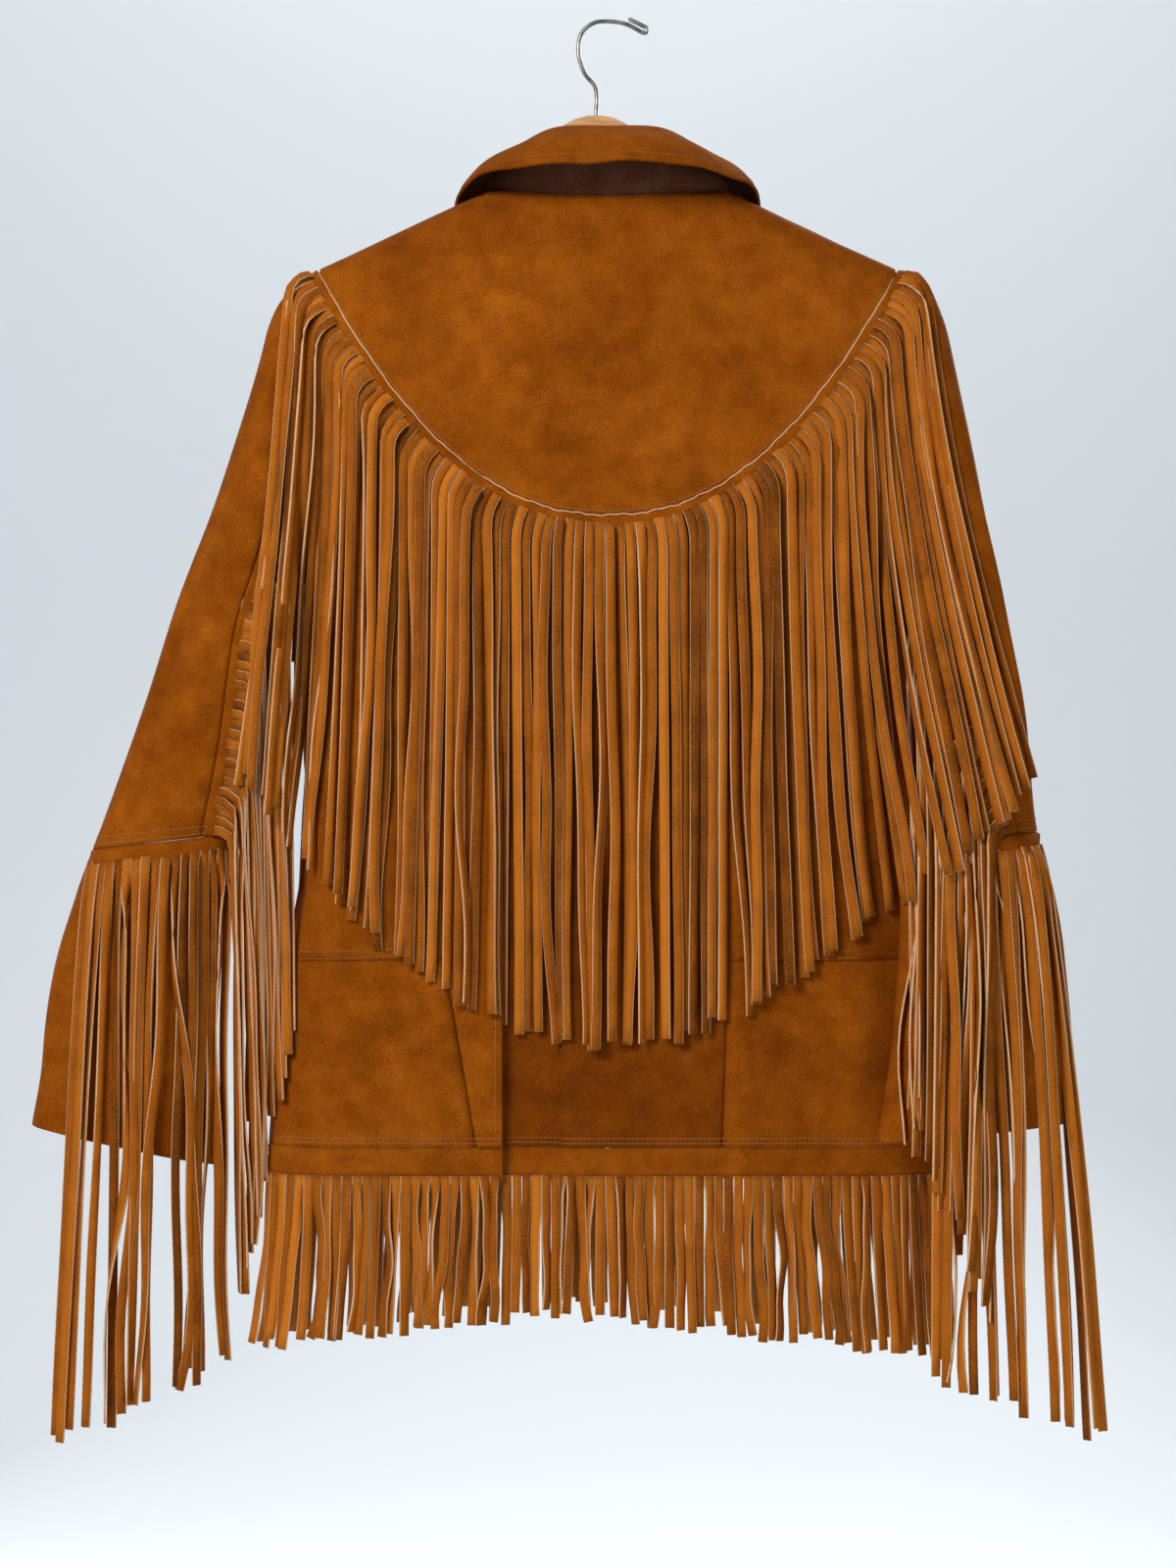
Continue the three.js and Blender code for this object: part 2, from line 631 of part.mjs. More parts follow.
const hangerOutline = new THREE.Shape();
const HANGER_STEPS = 32;
hangerOutline.moveTo(-ARM_END, hangerTop(-ARM_END) - 4);
for (let k = 0; k <= HANGER_STEPS; k += 1) {
  const x = ARM_END * Math.sign(k / HANGER_STEPS - 0.5) * Math.abs(2 * k / HANGER_STEPS - 1) ** 1.25;
  hangerOutline.lineTo(x, hangerTop(x));
}
hangerOutline.lineTo(ARM_END, hangerTop(ARM_END) - ARM_DEEP);
hangerOutline.quadraticCurveTo(WAIST_OF_BOARD.x, WAIST_OF_BOARD.z, 0, WAIST_OF_BOARD.middle);
hangerOutline.quadraticCurveTo(-WAIST_OF_BOARD.x, WAIST_OF_BOARD.z, -ARM_END, hangerTop(ARM_END) - ARM_DEEP);
const hangerGeometry = new THREE.ExtrudeGeometry(hangerOutline, {
  depth: HANGER_THICK,
  bevelEnabled: false,
  curveSegments: 10,
});
const beech = { color: 0xdda36b, roughness: 0.45, metalness: 0 };
const hangerWood = addPiece('hanger_wood', hangerGeometry, beech);
hangerWood.rotation.x = Math.PI / 2;
hangerWood.position.y = HANGER_THICK / 2;

// The hook's wire, from the wood up round to its end, which is folded back.
const HOOK_ROUTE = [
  [CROWN.x, -68.6],
  [CROWN.x, -49],
  [-17, -37],
  [-21.5, -22],
  [-19.5, -8],
  [-11, 0],
  [0, HOOK_WIRE / 2],
  [14, -0.5],
  [27, -7],
  [29, -3.6],
  [26, -1.6],
  [15.5, 3.6],
];
const hookPoints = HOOK_ROUTE.map(([x, z]) => new THREE.Vector3(x, 0, z));
const hookCurve = new THREE.CatmullRomCurve3(hookPoints, false, 'centripetal');
const wireSection = new THREE.Shape().absarc(0, 0, HOOK_WIRE / 2, 0, 2 * Math.PI);
const hookGeometry = new THREE.ExtrudeGeometry(wireSection, {
  steps: 44,
  curveSegments: 3,
  extrudePath: hookCurve,
});
addPiece('hanger_hook', hookGeometry, { color: 0x504f47, roughness: 0.35, metalness: 1 });

export default jacket;
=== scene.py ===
import math
import random

import bpy
import numpy as np
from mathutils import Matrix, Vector
from mathutils.bvhtree import BVHTree


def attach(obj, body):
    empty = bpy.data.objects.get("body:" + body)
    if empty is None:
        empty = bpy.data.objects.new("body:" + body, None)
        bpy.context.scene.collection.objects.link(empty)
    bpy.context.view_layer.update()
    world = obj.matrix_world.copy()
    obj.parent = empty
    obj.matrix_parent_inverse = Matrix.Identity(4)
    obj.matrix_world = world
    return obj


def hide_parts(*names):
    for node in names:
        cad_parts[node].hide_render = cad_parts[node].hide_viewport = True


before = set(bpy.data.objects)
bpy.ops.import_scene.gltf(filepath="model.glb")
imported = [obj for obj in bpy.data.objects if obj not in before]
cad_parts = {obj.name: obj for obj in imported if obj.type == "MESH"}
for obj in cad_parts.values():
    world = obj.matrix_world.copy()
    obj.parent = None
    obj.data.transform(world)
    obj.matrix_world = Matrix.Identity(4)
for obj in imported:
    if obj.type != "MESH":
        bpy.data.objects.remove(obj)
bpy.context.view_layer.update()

# ---- Camera ---------------------------------------------------------------------
# It stands level behind the jacket, at half the height of the picture.  The picture
# is 864 x 1152 mm where the jacket hangs, and the lens follows from the distance.
PICTURE_HIGH = 1.152
PICTURE_MIDDLE = (-0.0144, -0.5638)
CAMERA_AWAY = 2.4
HANG_PLANE = -0.022

camera_data = bpy.data.cameras.new("camera")
camera_data.sensor_fit = "VERTICAL"
camera_data.sensor_height = 36
camera_data.lens = camera_data.sensor_height * CAMERA_AWAY / PICTURE_HIGH
camera = bpy.data.objects.new("camera", camera_data)
camera.location = (PICTURE_MIDDLE[0], HANG_PLANE - CAMERA_AWAY, PICTURE_MIDDLE[1])
camera.rotation_euler = (math.pi / 2, 0, 0)
bpy.context.collection.objects.link(camera)
bpy.context.scene.camera = camera
bpy.context.scene.view_settings.view_transform = "Standard"

# ---- Studio ---------------------------------------------------------------------
# A pale floor that curves up into a pale wall, well behind the jacket, lit by large
# soft lamps on both sides of it.  None of it is part of the jacket.
MM = 0.001


def linear(hex_colour):
    channels = [int(hex_colour[k:k + 2], 16) / 255 for k in (1, 3, 5)]
    return tuple(c / 12.92 if c <= 0.04045 else ((c + 0.055) / 1.055) ** 2.4 for c in channels) + (1.0,)


def add_node(tree, kind, settings=None, links=None):
    """Adds a node.  A setting is one of its own, or the value of the input of that name or number."""
    node = tree.nodes.new(kind)
    for key, value in (settings or {}).items():
        if isinstance(key, int) or key in node.inputs:
            node.inputs[key].default_value = value
        else:
            setattr(node, key, value)
    for key, source in (links or {}).items():
        tree.links.new(source, node.inputs[key])
    return node


def new_material(name):
    material = bpy.data.materials.new(name)
    material.use_nodes = True
    material.node_tree.nodes.clear()
    return material, material.node_tree


def painted_plaster():
    """Smooth white paint: matte, with hardly any texture."""
    material, tree = new_material("painted_plaster")
    shader = add_node(tree, "ShaderNodeBsdfPrincipled", {"Base Color": linear("#e9eef2"), "Roughness": 0.9})
    add_node(tree, "ShaderNodeOutputMaterial", links={"Surface": shader.outputs[0]})
    return material


FLOOR_Z = -1.75
WALL_Y = 4.2
BEND = 1.6
profile = [(-6.0, FLOOR_Z), (WALL_Y - BEND, FLOOR_Z)]
for k in range(1, 13):
    turn = math.pi / 2 * k / 12
    profile.append((WALL_Y - BEND + BEND * math.sin(turn), FLOOR_Z + BEND * (1 - math.cos(turn))))
profile.append((WALL_Y, 5.0))
sweep_mesh = bpy.data.meshes.new("studio_sweep")
sweep_points = [(x, y, z) for y, z in profile for x in (-7, 7)]
sweep_faces = [(2 * k, 2 * k + 1, 2 * k + 3, 2 * k + 2) for k in range(len(profile) - 1)]
sweep_mesh.from_pydata(sweep_points, [], sweep_faces)
sweep_mesh.polygons.foreach_set("use_smooth", [True] * len(sweep_faces))
sweep_mesh.materials.append(painted_plaster())
sweep = bpy.data.objects.new("studio_sweep", sweep_mesh)
bpy.context.collection.objects.link(sweep)

world = bpy.data.worlds.new("studio")
world.use_nodes = True
world.node_tree.nodes["Background"].inputs["Color"].default_value = linear("#dfe6ec")
world.node_tree.nodes["Background"].inputs["Strength"].default_value = 0.28
bpy.context.scene.world = world

# Each lamp: name, place, what it looks at, size and power in watts.
for lamp_name, place, size, power in (
    ("key_lamp", (-1.5, -2.3, 0.9), 1.0, 71),
    ("fill_lamp", (2.0, -2.2, 0.0), 2.2, 15),
    ("front_key_lamp", (1.5, 2.4, 0.8), 1.6, 60),
    ("front_fill_lamp", (-1.8, 2.2, -0.2), 2.0, 24),
    ("wall_lamp", (0.0, 2.6, 2.6), 3.0, 60),
):
    lamp_data = bpy.data.lights.new(lamp_name, "AREA")
    lamp_data.size = size
    lamp_data.energy = power
    lamp = bpy.data.objects.new(lamp_name, lamp_data)
    lamp.location = place
    target = Vector((0, 4.2, -0.6)) if lamp_name == "wall_lamp" else Vector((0, 0, -0.5))
    lamp.rotation_euler = (target - Vector(place)).to_track_quat("-Z", "Y").to_euler()
    bpy.context.collection.objects.link(lamp)

# ---- Hanger: the wooden shoulder piece --------------------------------------------
# Pale beech, sawn from a board, its edges rounded over and clear-varnished.  The
# jacket's shoulders lie on it.


def varnished_beech():
    """Clear-varnished beech: warm and satin, with fine grain running along the arms."""
    material, tree = new_material("varnished_beech")
    place = add_node(tree, "ShaderNodeTexCoord")
    # Growth rings about 3 mm apart, drawn out ten times along the arms.
    grain_place = add_node(tree, "ShaderNodeMapping", {"Scale": (30, 300, 330)}, {0: place.outputs["Object"]})
    grain = add_node(tree, "ShaderNodeTexNoise", {"Scale": 1.0, "Detail": 5.0, "Distortion": 0.8},
                     {"Vector": grain_place.outputs[0]})
    ramp = add_node(tree, "ShaderNodeValToRGB", links={0: grain.outputs[0]})
    ramp.color_ramp.elements[0].color = linear("#b97f47")
    ramp.color_ramp.elements[0].position = 0.3
    ramp.color_ramp.elements[1].color = linear("#e6b27c")
    ramp.color_ramp.elements[1].position = 0.72
    bump = add_node(tree, "ShaderNodeBump", {"Strength": 0.12, "Distance": 0.0004},
                    {"Height": grain.outputs[0]})
    shader = add_node(tree, "ShaderNodeBsdfPrincipled",
                      {"Roughness": 0.38, "Coat Weight": 0.3, "Coat Roughness": 0.2},
                      {"Base Color": ramp.outputs[0], "Normal": bump.outputs[0]})
    add_node(tree, "ShaderNodeOutputMaterial", links={"Surface": shader.outputs[0]})
    return material


def finish_piece(piece, slot, *nodes):
    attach(piece, "root")
    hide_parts(*nodes)
    return piece


hanger_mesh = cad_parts["hanger_wood"].data.copy()
hanger_mesh.materials.clear()
hanger_mesh.materials.append(varnished_beech())
hanger = bpy.data.objects.new("hanger_board", hanger_mesh)
bpy.context.collection.objects.link(hanger)
weld = hanger.modifiers.new("weld", "WELD")
weld.merge_threshold = 0.01 * MM
rounding = hanger.modifiers.new("rounded_edges", "BEVEL")
rounding.width = 2.6 * MM
rounding.segments = 4
rounding.limit_method = "ANGLE"
rounding.angle_limit = math.radians(40)
rounding.harden_normals = False
hanger_mesh.polygons.foreach_set("use_smooth", [True] * len(hanger_mesh.polygons))
finish_piece(hanger, "hanger_wood", "hanger_wood")

# ---- Hanger: the hook ---------------------------------------------------------------
# Steel wire of 3.2 mm, screwed into the wood and bent round by hand, with its end
# folded back on itself so that it doesn't snag.
WIRE = 3.2
HOOK_ROUTE = ((-8.6, -72), (-8.6, -49), (-17, -37), (-21.5, -22), (-19.5, -8), (-11, 0), (0, 1.6),
              (14, -0.5), (27, -7), (29, -3.6), (26, -1.6), (15.5, 3.6))


def drawn_steel():
    """Drawn steel wire: a dull shine, with fine lines along it and a little tarnish."""
    material, tree = new_material("drawn_steel")
    place = add_node(tree, "ShaderNodeTexCoord")
    tarnish = add_node(tree, "ShaderNodeTexNoise", {"Scale": 160.0, "Detail": 4.0},
                       {"Vector": place.outputs["Object"]})
    ramp = add_node(tree, "ShaderNodeValToRGB", links={0: tarnish.outputs[0]})
    ramp.color_ramp.elements[0].color = linear("#6d6b64")
    ramp.color_ramp.elements[0].position = 0.35
    ramp.color_ramp.elements[1].color = linear("#a9a79f")
    ramp.color_ramp.elements[1].position = 0.65
    rough = add_node(tree, "ShaderNodeMapRange", {"To Min": 0.28, "To Max": 0.45},
                     {"Value": tarnish.outputs[0]})
    shader = add_node(tree, "ShaderNodeBsdfPrincipled", {"Metallic": 1.0},
                      {"Base Color": ramp.outputs[0], "Roughness": rough.outputs[0]})
    add_node(tree, "ShaderNodeOutputMaterial", links={"Surface": shader.outputs[0]})
    return material


def spline(points, per_span):
    """A smooth line through points (n x 3), with per_span steps between each two."""
    points = np.asarray(points, float)
    padded = np.vstack([2 * points[0] - points[1], points, 2 * points[-1] - points[-2]])
    line = []
    for k in range(1, len(padded) - 2):
        a, b, c, d = padded[k - 1:k + 3]
        for t in np.arange(per_span) / per_span:
            line.append(b + 0.5 * t * (c - a + t * (2 * a - 5 * b + 4 * c - d + t * (3 * (b - c) + d - a))))
    return np.array(line + [points[-1]])


def mesh_piece(name, points, faces, materials, kinds=None, smooth=None):
    """A mesh from points in millimetres; kinds picks each face's material and smooth its shading."""
    mesh = bpy.data.meshes.new(name)
    mesh.from_pydata((np.asarray(points) * MM).tolist(), [], faces)
    for material in materials:
        mesh.materials.append(material)
    if kinds is not None:
        mesh.polygons.foreach_set("material_index", np.asarray(kinds, np.int32))
    mesh.polygons.foreach_set("use_smooth",
                              [True] * len(faces) if smooth is None else list(map(bool, smooth)))
    piece = bpy.data.objects.new(name, mesh)
    bpy.context.collection.objects.link(piece)
    return piece


def round_wire(name, line, radius, material, sides=12):
    """A round wire along a line that lies in the hanger's plane."""
    ahead = np.gradient(line, axis=0)
    ahead /= np.linalg.norm(ahead, axis=1)[:, None]
    across = np.cross(ahead, (0, 1, 0))
    points = []
    for k, centre in enumerate(line):
        tip = min(k, len(line) - 1 - k)
        r = radius * (0.6, 0.9, 1.0)[min(tip, 2)]
        for j in range(sides):
            turn = 2 * math.pi * j / sides
            points.append(centre + r * (math.cos(turn) * across[k] + math.sin(turn) * np.array((0, 1, 0))))
    faces = []
    for k in range(len(line) - 1):
        for j in range(sides):
            a, b = k * sides + j, k * sides + (j + 1) % sides
            faces.append((a, b, b + sides, a + sides))
    faces += [tuple(range(sides))[::-1], tuple(len(points) - sides + j for j in range(sides))]
    return mesh_piece(name, points, faces, [material])


hook_line = spline([(x, 0, z) for x, z in HOOK_ROUTE], 10)
hook = round_wire("wire_hook", hook_line, WIRE / 2, drawn_steel())
finish_piece(hook, "hook_steel", "hanger_hook")

# ---- Body cloth --------------------------------------------------------------------
# Tan suede of 1.6 mm, brushed on its outer side.  The back is a half-moon yoke over
# two centre panels and two side panels; the fronts have a yoke too.  Each piece is a
# thin shell on the jacket's surface, with the soft creases of a limp, worn hide.
SUEDE = 1.6
SEAM = 0.3
NECK_HALF, NECK_BACK, NECK_FRONT = 92, 38, 36
NECK_Z, NECK_DIP_BACK, NECK_DIP_FRONT = -126, 8, 76
TIP_X, TIP_Z = 215, -183
ARMHOLE_X, ARMPIT_X, ARMPIT_Z = 199, 226, -425
SHOULDER_ROLL, SIDE_ROLL = 58, 72
YOKE_DROP, FRONT_YOKE_DROP, YOKE_CURVE = 185, 122, 2.2
WAIST_Z, HEM_Z = -693, -830
VENT_TOP, VENT_X, VENT_LAP, VENT_DEPTH, FOLD_X = -560, -77, 22, 9, -33
BACK, FRONT = -1, 1
# Height, half width on the left and right, and depth behind and before the hanger.
BODY = np.array((
    (-1010, 262, 268, 31, 30),
    (-830, 252, 250, 35, 34),
    (-710, 243, 237, 36, 35),
    (-640, 230, 230, 38, 36),
    (-560, 226, 226, 40, 37),
    (-450, 226, 226, 43, 38),
    (-330, 226, 226, 43, 36),
    (-100, 226, 226, 38, 32),
), float)


def lerp(a, b, t):
    return a + (b - a) * t


def ease(x, low, high):
    t = np.clip((x - low) / (high - low), 0, 1)
    return t * t * (3 - 2 * t)


def body_size(which, z):
    return np.interp(z, BODY[:, 0], BODY[:, which])


def half_width(x, z):
    return np.where(np.asarray(x) < 0, body_size(1, z), body_size(2, z))


def top_line(x, side):
    over = np.abs(x)
    dip, power = (NECK_DIP_BACK, 1) if side == BACK else (NECK_DIP_FRONT, 0.8)
    neck = NECK_Z - dip * np.clip(1 - (over / NECK_HALF) ** 2, 0, 1) ** power
    return np.where(over < NECK_HALF, neck, lerp(NECK_Z, TIP_Z, (over - NECK_HALF) / (TIP_X - NECK_HALF)))


def neck_depth(x, side):
    inside = 1 - np.minimum(1, np.abs(x) / NECK_HALF) ** 2
    return (NECK_BACK if side == BACK else NECK_FRONT) * np.sqrt(inside)


def body_depth(x, z, side):
    half = half_width(x, z)
    over = np.clip((np.abs(x) - (half - SIDE_ROLL)) / SIDE_ROLL, 0, 1)
    full = body_size(3 if side == BACK else 4, z) * np.sqrt(1 - over ** 2) * (1 - 0.1 * (x / half) ** 2)
    drop = np.clip((top_line(x, side) - z) / SHOULDER_ROLL, 0, 1)
    neck = np.minimum(neck_depth(x, side), full)
    return neck + (full - neck) * np.sqrt(1 - (1 - drop) ** 2)


def vent_recess(x, z):
    return VENT_DEPTH * (1 - ease(x, FOLD_X - 8, FOLD_X + 4)) * (1 - ease(z, VENT_TOP, VENT_TOP + 60))


def armhole_x(z):
    t = np.clip((TIP_Z - z) / (TIP_Z - ARMPIT_Z), 0, 1)
    return lerp(TIP_X, ARMPIT_X, t) - (lerp(TIP_X, ARMPIT_X, 0.5) - ARMHOLE_X) * np.sin(math.pi * t) ** 1.3


def side_x(hand, z):
    return np.where(z > ARMPIT_Z, armhole_x(z) - 0.8, half_width(hand + 0 * z, z) - SEAM)


def yoke_seam(x, side):
    drop = YOKE_DROP if side == BACK else FRONT_YOKE_DROP
    return TIP_Z - drop * (1 - (np.minimum(np.abs(x), TIP_X) / TIP_X) ** YOKE_CURVE)


def princess_x(hand, z):
    top, hem = (-119, -96) if hand < 0 else (88, 84)
    return lerp(top, hem, np.clip((WAIST_Z - z) / (WAIST_Z - HEM_Z), 0, 1))


def way_down(x, z, side):
    drop = np.maximum(0, top_line(x, side) - z) / SHOULDER_ROLL
    return np.where(drop < 1, np.arccos(1 - np.minimum(drop, 1)) / (math.pi / 2), drop)


def body_point(x, s, side):
    drop = np.where(s < 1, SHOULDER_ROLL * (1 - np.cos(s * math.pi / 2)), SHOULDER_ROLL * s)
    z = top_line(x, side) - drop
    return np.stack([x, side * body_depth(x, z, side), z], axis=-1)


# Creases of the body: side, both ends, half width and height; a trough is below zero.
BODY_CREASES = (
    (BACK, -14, -560, 6, -826, 26, -6.0),
    (BACK, 66, -600, 101, -815, 13, 5.0),
    (BACK, 124, -690, 150, -828, 22, -4.5),
    (BACK, 176, -640, 196, -826, 16, 4.0),
    (BACK, -150, -640, -163, -824, 24, -4.0),
    (BACK, -196, -610, -206, -800, 16, 4.0),
    (BACK, -120, -700, -126, -822, 9, 2.4),
    (BACK, 40, -700, 46, -812, 12, 2.5),
    (BACK, -232, -560, -215, -760, 12, -3.0),
    (BACK, 18, -205, 24, -345, 30, -2.6),
    (BACK, -96, -160, -150, -262, 20, -2.2),
    (BACK, 92, -160, 142, -258, 18, -2.4),
    (BACK, -60, -262, -28, -352, 15, 1.6),
    (BACK, 112, -214, 160, -232, 10, 1.5),
    (BACK, -168, -214, -120, -236, 11, 1.4),
    (BACK, -150, -400, -140, -600, 26, -3.0),
    (BACK, 120, -420, 128, -620, 24, -3.0),
    (FRONT, -40, -330, -52, -800, 24, -6.0),
    (FRONT, 46, -360, 40, -810, 20, -5.0),
    (FRONT, -112, -420, -126, -826, 22, 5.0),
    (FRONT, 118, -400, 138, -800, 19, 5.0),
    (FRONT, -178, -460, -190, -780, 18, -4.0),
    (FRONT, 182, -480, 186, -820, 20, -4.5),
    (FRONT, 84, -620, 90, -828, 12, 3.0),
    (FRONT, -82, -180, -140, -262, 16, -2.0),
    (FRONT, 82, -190, 134, -250, 14, -2.2),
)


def crease_height(points, side):
    """How far the creases lift or sink each point, with a faint unevenness all over."""
    x, z = points[..., 0], points[..., 2]
    height = 0.7 * np.sin(x / 31 + 1.7 * np.sin(z / 57)) * np.sin(z / 43 + 0.8 * np.sin(x / 39) + side)
    for crease_side, x0, z0, x1, z1, wide, high in BODY_CREASES:
        if crease_side != side:
            continue
        along = np.array((x1 - x0, z1 - z0), float)
        t = np.clip(((x - x0) * along[0] + (z - z0) * along[1]) / along.dot(along), 0, 1)
        bow = 0.25 * wide * np.sin(t * 5.0 + x0)
        away = np.hypot(x - (x0 + t * along[0]) - bow, z - (z0 + t * along[1]))
        height = height + high * np.exp(-(away / wide) ** 2) * np.sin(math.pi * np.clip(t, 0.08, 0.97)) ** 0.6
    return height


def grid_normals(grid):
    down, across = np.gradient(grid, axis=0), np.gradient(grid, axis=1)
    normals = np.cross(across, down)
    return normals / np.maximum(np.linalg.norm(normals, axis=2), 1e-9)[..., None]


def flat_area(grid):
    """Area of a grid's cells in square metres: the flat cut of the piece laid on it."""
    one, two = grid[1:, 1:] - grid[:-1, :-1], grid[1:, :-1] - grid[:-1, 1:]
    return 0.5 * np.linalg.norm(np.cross(one, two), axis=2).sum() * MM * MM


def facing_out(points, faces):
    """The faces of a closed surface, turned over if they face inwards."""
    corner, second, third, fourth = np.moveaxis(points[faces], 1, 0)
    volume = np.einsum("ij,ij->", corner, np.cross(second, third) + np.cross(third, fourth))
    return faces[:, ::-1] if volume < 0 else faces


def skin(grid, outward, thick, wrap=False, outer_kind=0):
    """A closed skin under a grid of points: its outer side, its inner side and its cut edge."""
    rows, columns = grid.shape[:2]
    points = np.concatenate([grid.reshape(-1, 3), (grid - outward * thick).reshape(-1, 3)])
    number = np.arange(rows * columns).reshape(rows, columns)
    if wrap:
        number = np.hstack([number, number[:, :1]])
    low = number + rows * columns
    quads = [(number[:-1, :-1], number[1:, :-1], number[1:, 1:], number[:-1, 1:], outer_kind),
             (low[:-1, :-1], low[:-1, 1:], low[1:, 1:], low[1:, :-1], 1),
             (number[0, :-1], number[0, 1:], low[0, 1:], low[0, :-1], 2),
             (number[-1, :-1], low[-1, :-1], low[-1, 1:], number[-1, 1:], 2)]
    if not wrap:
        quads += [(number[:-1, 0], low[:-1, 0], low[1:, 0], number[1:, 0], 2),
                  (number[:-1, -1], number[1:, -1], low[1:, -1], low[:-1, -1], 2)]
    faces, kinds = [], []
    for a, b, c, d, kind in quads:
        faces.append(np.stack([a.ravel(), b.ravel(), c.ravel(), d.ravel()], axis=1))
        kinds += [kind] * a.size
    return points, facing_out(points, np.concatenate(faces)), kinds


def shell(name, grid, outward, materials, thick=SUEDE, wrap=False):
    """One piece of cloth, its outer side lying in a grid of points."""
    points, faces, kinds = skin(grid, outward, thick, wrap)
    return mesh_piece(name, points, faces.tolist(), materials, kinds, np.asarray(kinds) < 2)


def brushed_suede(name, deep, middle, light, nap=1.0):
    """Brushed suede: no shine, a velvety edge light, soft cloudy patches where the nap lies
    differently, and a fine fibrous grain."""
    material, tree = new_material(name)
    place = add_node(tree, "ShaderNodeTexCoord").outputs["Object"]
    # Patches of lying nap are 40 to 60 mm across, handling marks 12 mm, and fibres about 1 mm.
    cloud = add_node(tree, "ShaderNodeTexNoise", {"Scale": 15.0, "Detail": 2.0, "Distortion": 0.2},
                     {"Vector": place})
    marks = add_node(tree, "ShaderNodeTexNoise", {"Scale": 60.0, "Detail": 4.0, "Distortion": 0.2},
                     {"Vector": place})
    fibres = add_node(tree, "ShaderNodeTexNoise", {"Scale": 900.0, "Detail": 4.0}, {"Vector": place})
    tone = add_node(tree, "ShaderNodeMath", {"operation": "MULTIPLY_ADD", 1: 0.3}, {0: marks.outputs[0]})
    tree.links.new(add_node(tree, "ShaderNodeMath", {"operation": "MULTIPLY", 1: 0.3},
                            {0: cloud.outputs[0]}).outputs[0], tone.inputs[2])
    spread = add_node(tree, "ShaderNodeMath", {"operation": "MULTIPLY_ADD", 1: 0.47 * nap},
                      {0: fibres.outputs[0]})
    tree.links.new(tone.outputs[0], spread.inputs[2])
    ramp = add_node(tree, "ShaderNodeValToRGB", links={0: spread.outputs[0]})
    ramp.color_ramp.elements[0].color = linear(deep)
    ramp.color_ramp.elements[0].position = 0.36
    ramp.color_ramp.elements[1].color = linear(light)
    ramp.color_ramp.elements[1].position = 0.72
    ramp.color_ramp.elements.new(0.54).color = linear(middle)
    grain = add_node(tree, "ShaderNodeBump", {"Strength": 0.35 * nap, "Distance": 0.0006},
                     {"Height": fibres.outputs[0]})
    soft = add_node(tree, "ShaderNodeBump", {"Strength": 0.3, "Distance": 0.002},
                    {"Height": marks.outputs[0], "Normal": grain.outputs[0]})
    shader = add_node(tree, "ShaderNodeBsdfPrincipled",
                      {"Roughness": 0.95, "Specular IOR Level": 0.04, "Sheen Weight": 0.08,
                       "Sheen Roughness": 0.4,
                       "Sheen Tint": linear("#e08a3c")},
                      {"Base Color": ramp.outputs[0], "Normal": soft.outputs[0]})
    add_node(tree, "ShaderNodeOutputMaterial", links={"Surface": shader.outputs[0]})
    return material


TAN = brushed_suede("brushed_tan_suede", "#6c3104", "#8c4607", "#aa5c12")
FLESH = brushed_suede("flesh_side", "#94663a", "#a8784a", "#ba8c5e", 1.3)
CUT_EDGE = brushed_suede("cut_edge", "#a87448", "#c8966a", "#d8b088", 1.4)
# A darker copy of the tan suede: painted shade for the recessed centre back panel behind the vent fold.
SHADED_TAN = brushed_suede("tan_suede_painted_shade", "#562504", "#763805", "#8f4a0e")
CLOTH = [TAN, FLESH, TAN]


def body_grid(side, columns, rows, left, right, top, bottom, crowd=False, grooves=(True, True), lift=0.0,
              recess=False):
    u, v = np.meshgrid(np.linspace(0, 1, columns + 1), np.linspace(0, 1, rows + 1))
    across = np.sin(u * math.pi / 2) if crowd else u
    x = lerp(left(HEM_Z + 0 * u), right(HEM_Z + 0 * u), across)
    for _ in range(14):
        z = lerp(top(x), bottom(x), v)
        x = lerp(left(z), right(z), across)
    s = way_down(x, z, side)
    grid = body_point(x, s, side)
    if recess:
        grid[..., 1] += vent_recess(x, z)
    # Below the waist at the sides, and along the shoulders, back and front are sewn edge to edge.
    if crowd:
        near = np.sqrt(np.clip(np.abs(x[:, -1:] - x) / 6, 0.01, 1))
        grid[..., 1] *= lerp(near, 1, ease(z, -600, -540))
    if not any(grooves):
        near = np.sqrt(np.clip((top_line(x, side) - z) / 4, 0.01, 1))
        grid[..., 1] *= lerp(1, near, ease(np.abs(x), 96, 108))
    outward = grid_normals(grid)
    outward *= np.where(outward[rows // 2, columns // 2, 1] * side < 0, -1, 1)
    wide = np.abs(x[rows // 2, -1] - x[rows // 2, 0])
    grow = lift + crease_height(grid, side)
    if grooves[0]:
        grow = grow - 0.8 * np.exp(-(across * wide / 2.2) ** 2)
    if grooves[1]:
        grow = grow - 0.8 * np.exp(-((1 - across) * wide / 2.2) ** 2)
    flat = grid.copy()
    grid = grid + outward * grow[..., None]
    normals = grid_normals(grid)
    normals *= np.where(normals[rows // 2, columns // 2, 1] * side < 0, -1, 1)
    return grid, normals, flat


def declare_cloth(flat):
    """Works out a cut piece's flat area and the rectangle that it is cut from; nothing is done with them."""
    wide = np.linalg.norm(np.diff(flat, axis=1), axis=2).sum(axis=1).max() * MM
    long = np.linalg.norm(np.diff(flat, axis=0), axis=2).sum(axis=0).max() * MM
    area = flat_area(flat)
    long = max(long, area / wide)


def body_piece(name, node, side, columns, rows, left, right, top, bottom, rests_on, **more):
    grid, normals, flat = body_grid(side, columns, rows, left, right, top, bottom, **more)
    piece = shell(name, grid, normals, CLOTH)
    finish_piece(piece, "suede", node)
    declare_cloth(flat)
    return piece


HALF = SEAM / 2
YOKE_END = TIP_X - 2
FRONT_GAP = 1.5


def level(value):
    return lambda z: value + 0 * z


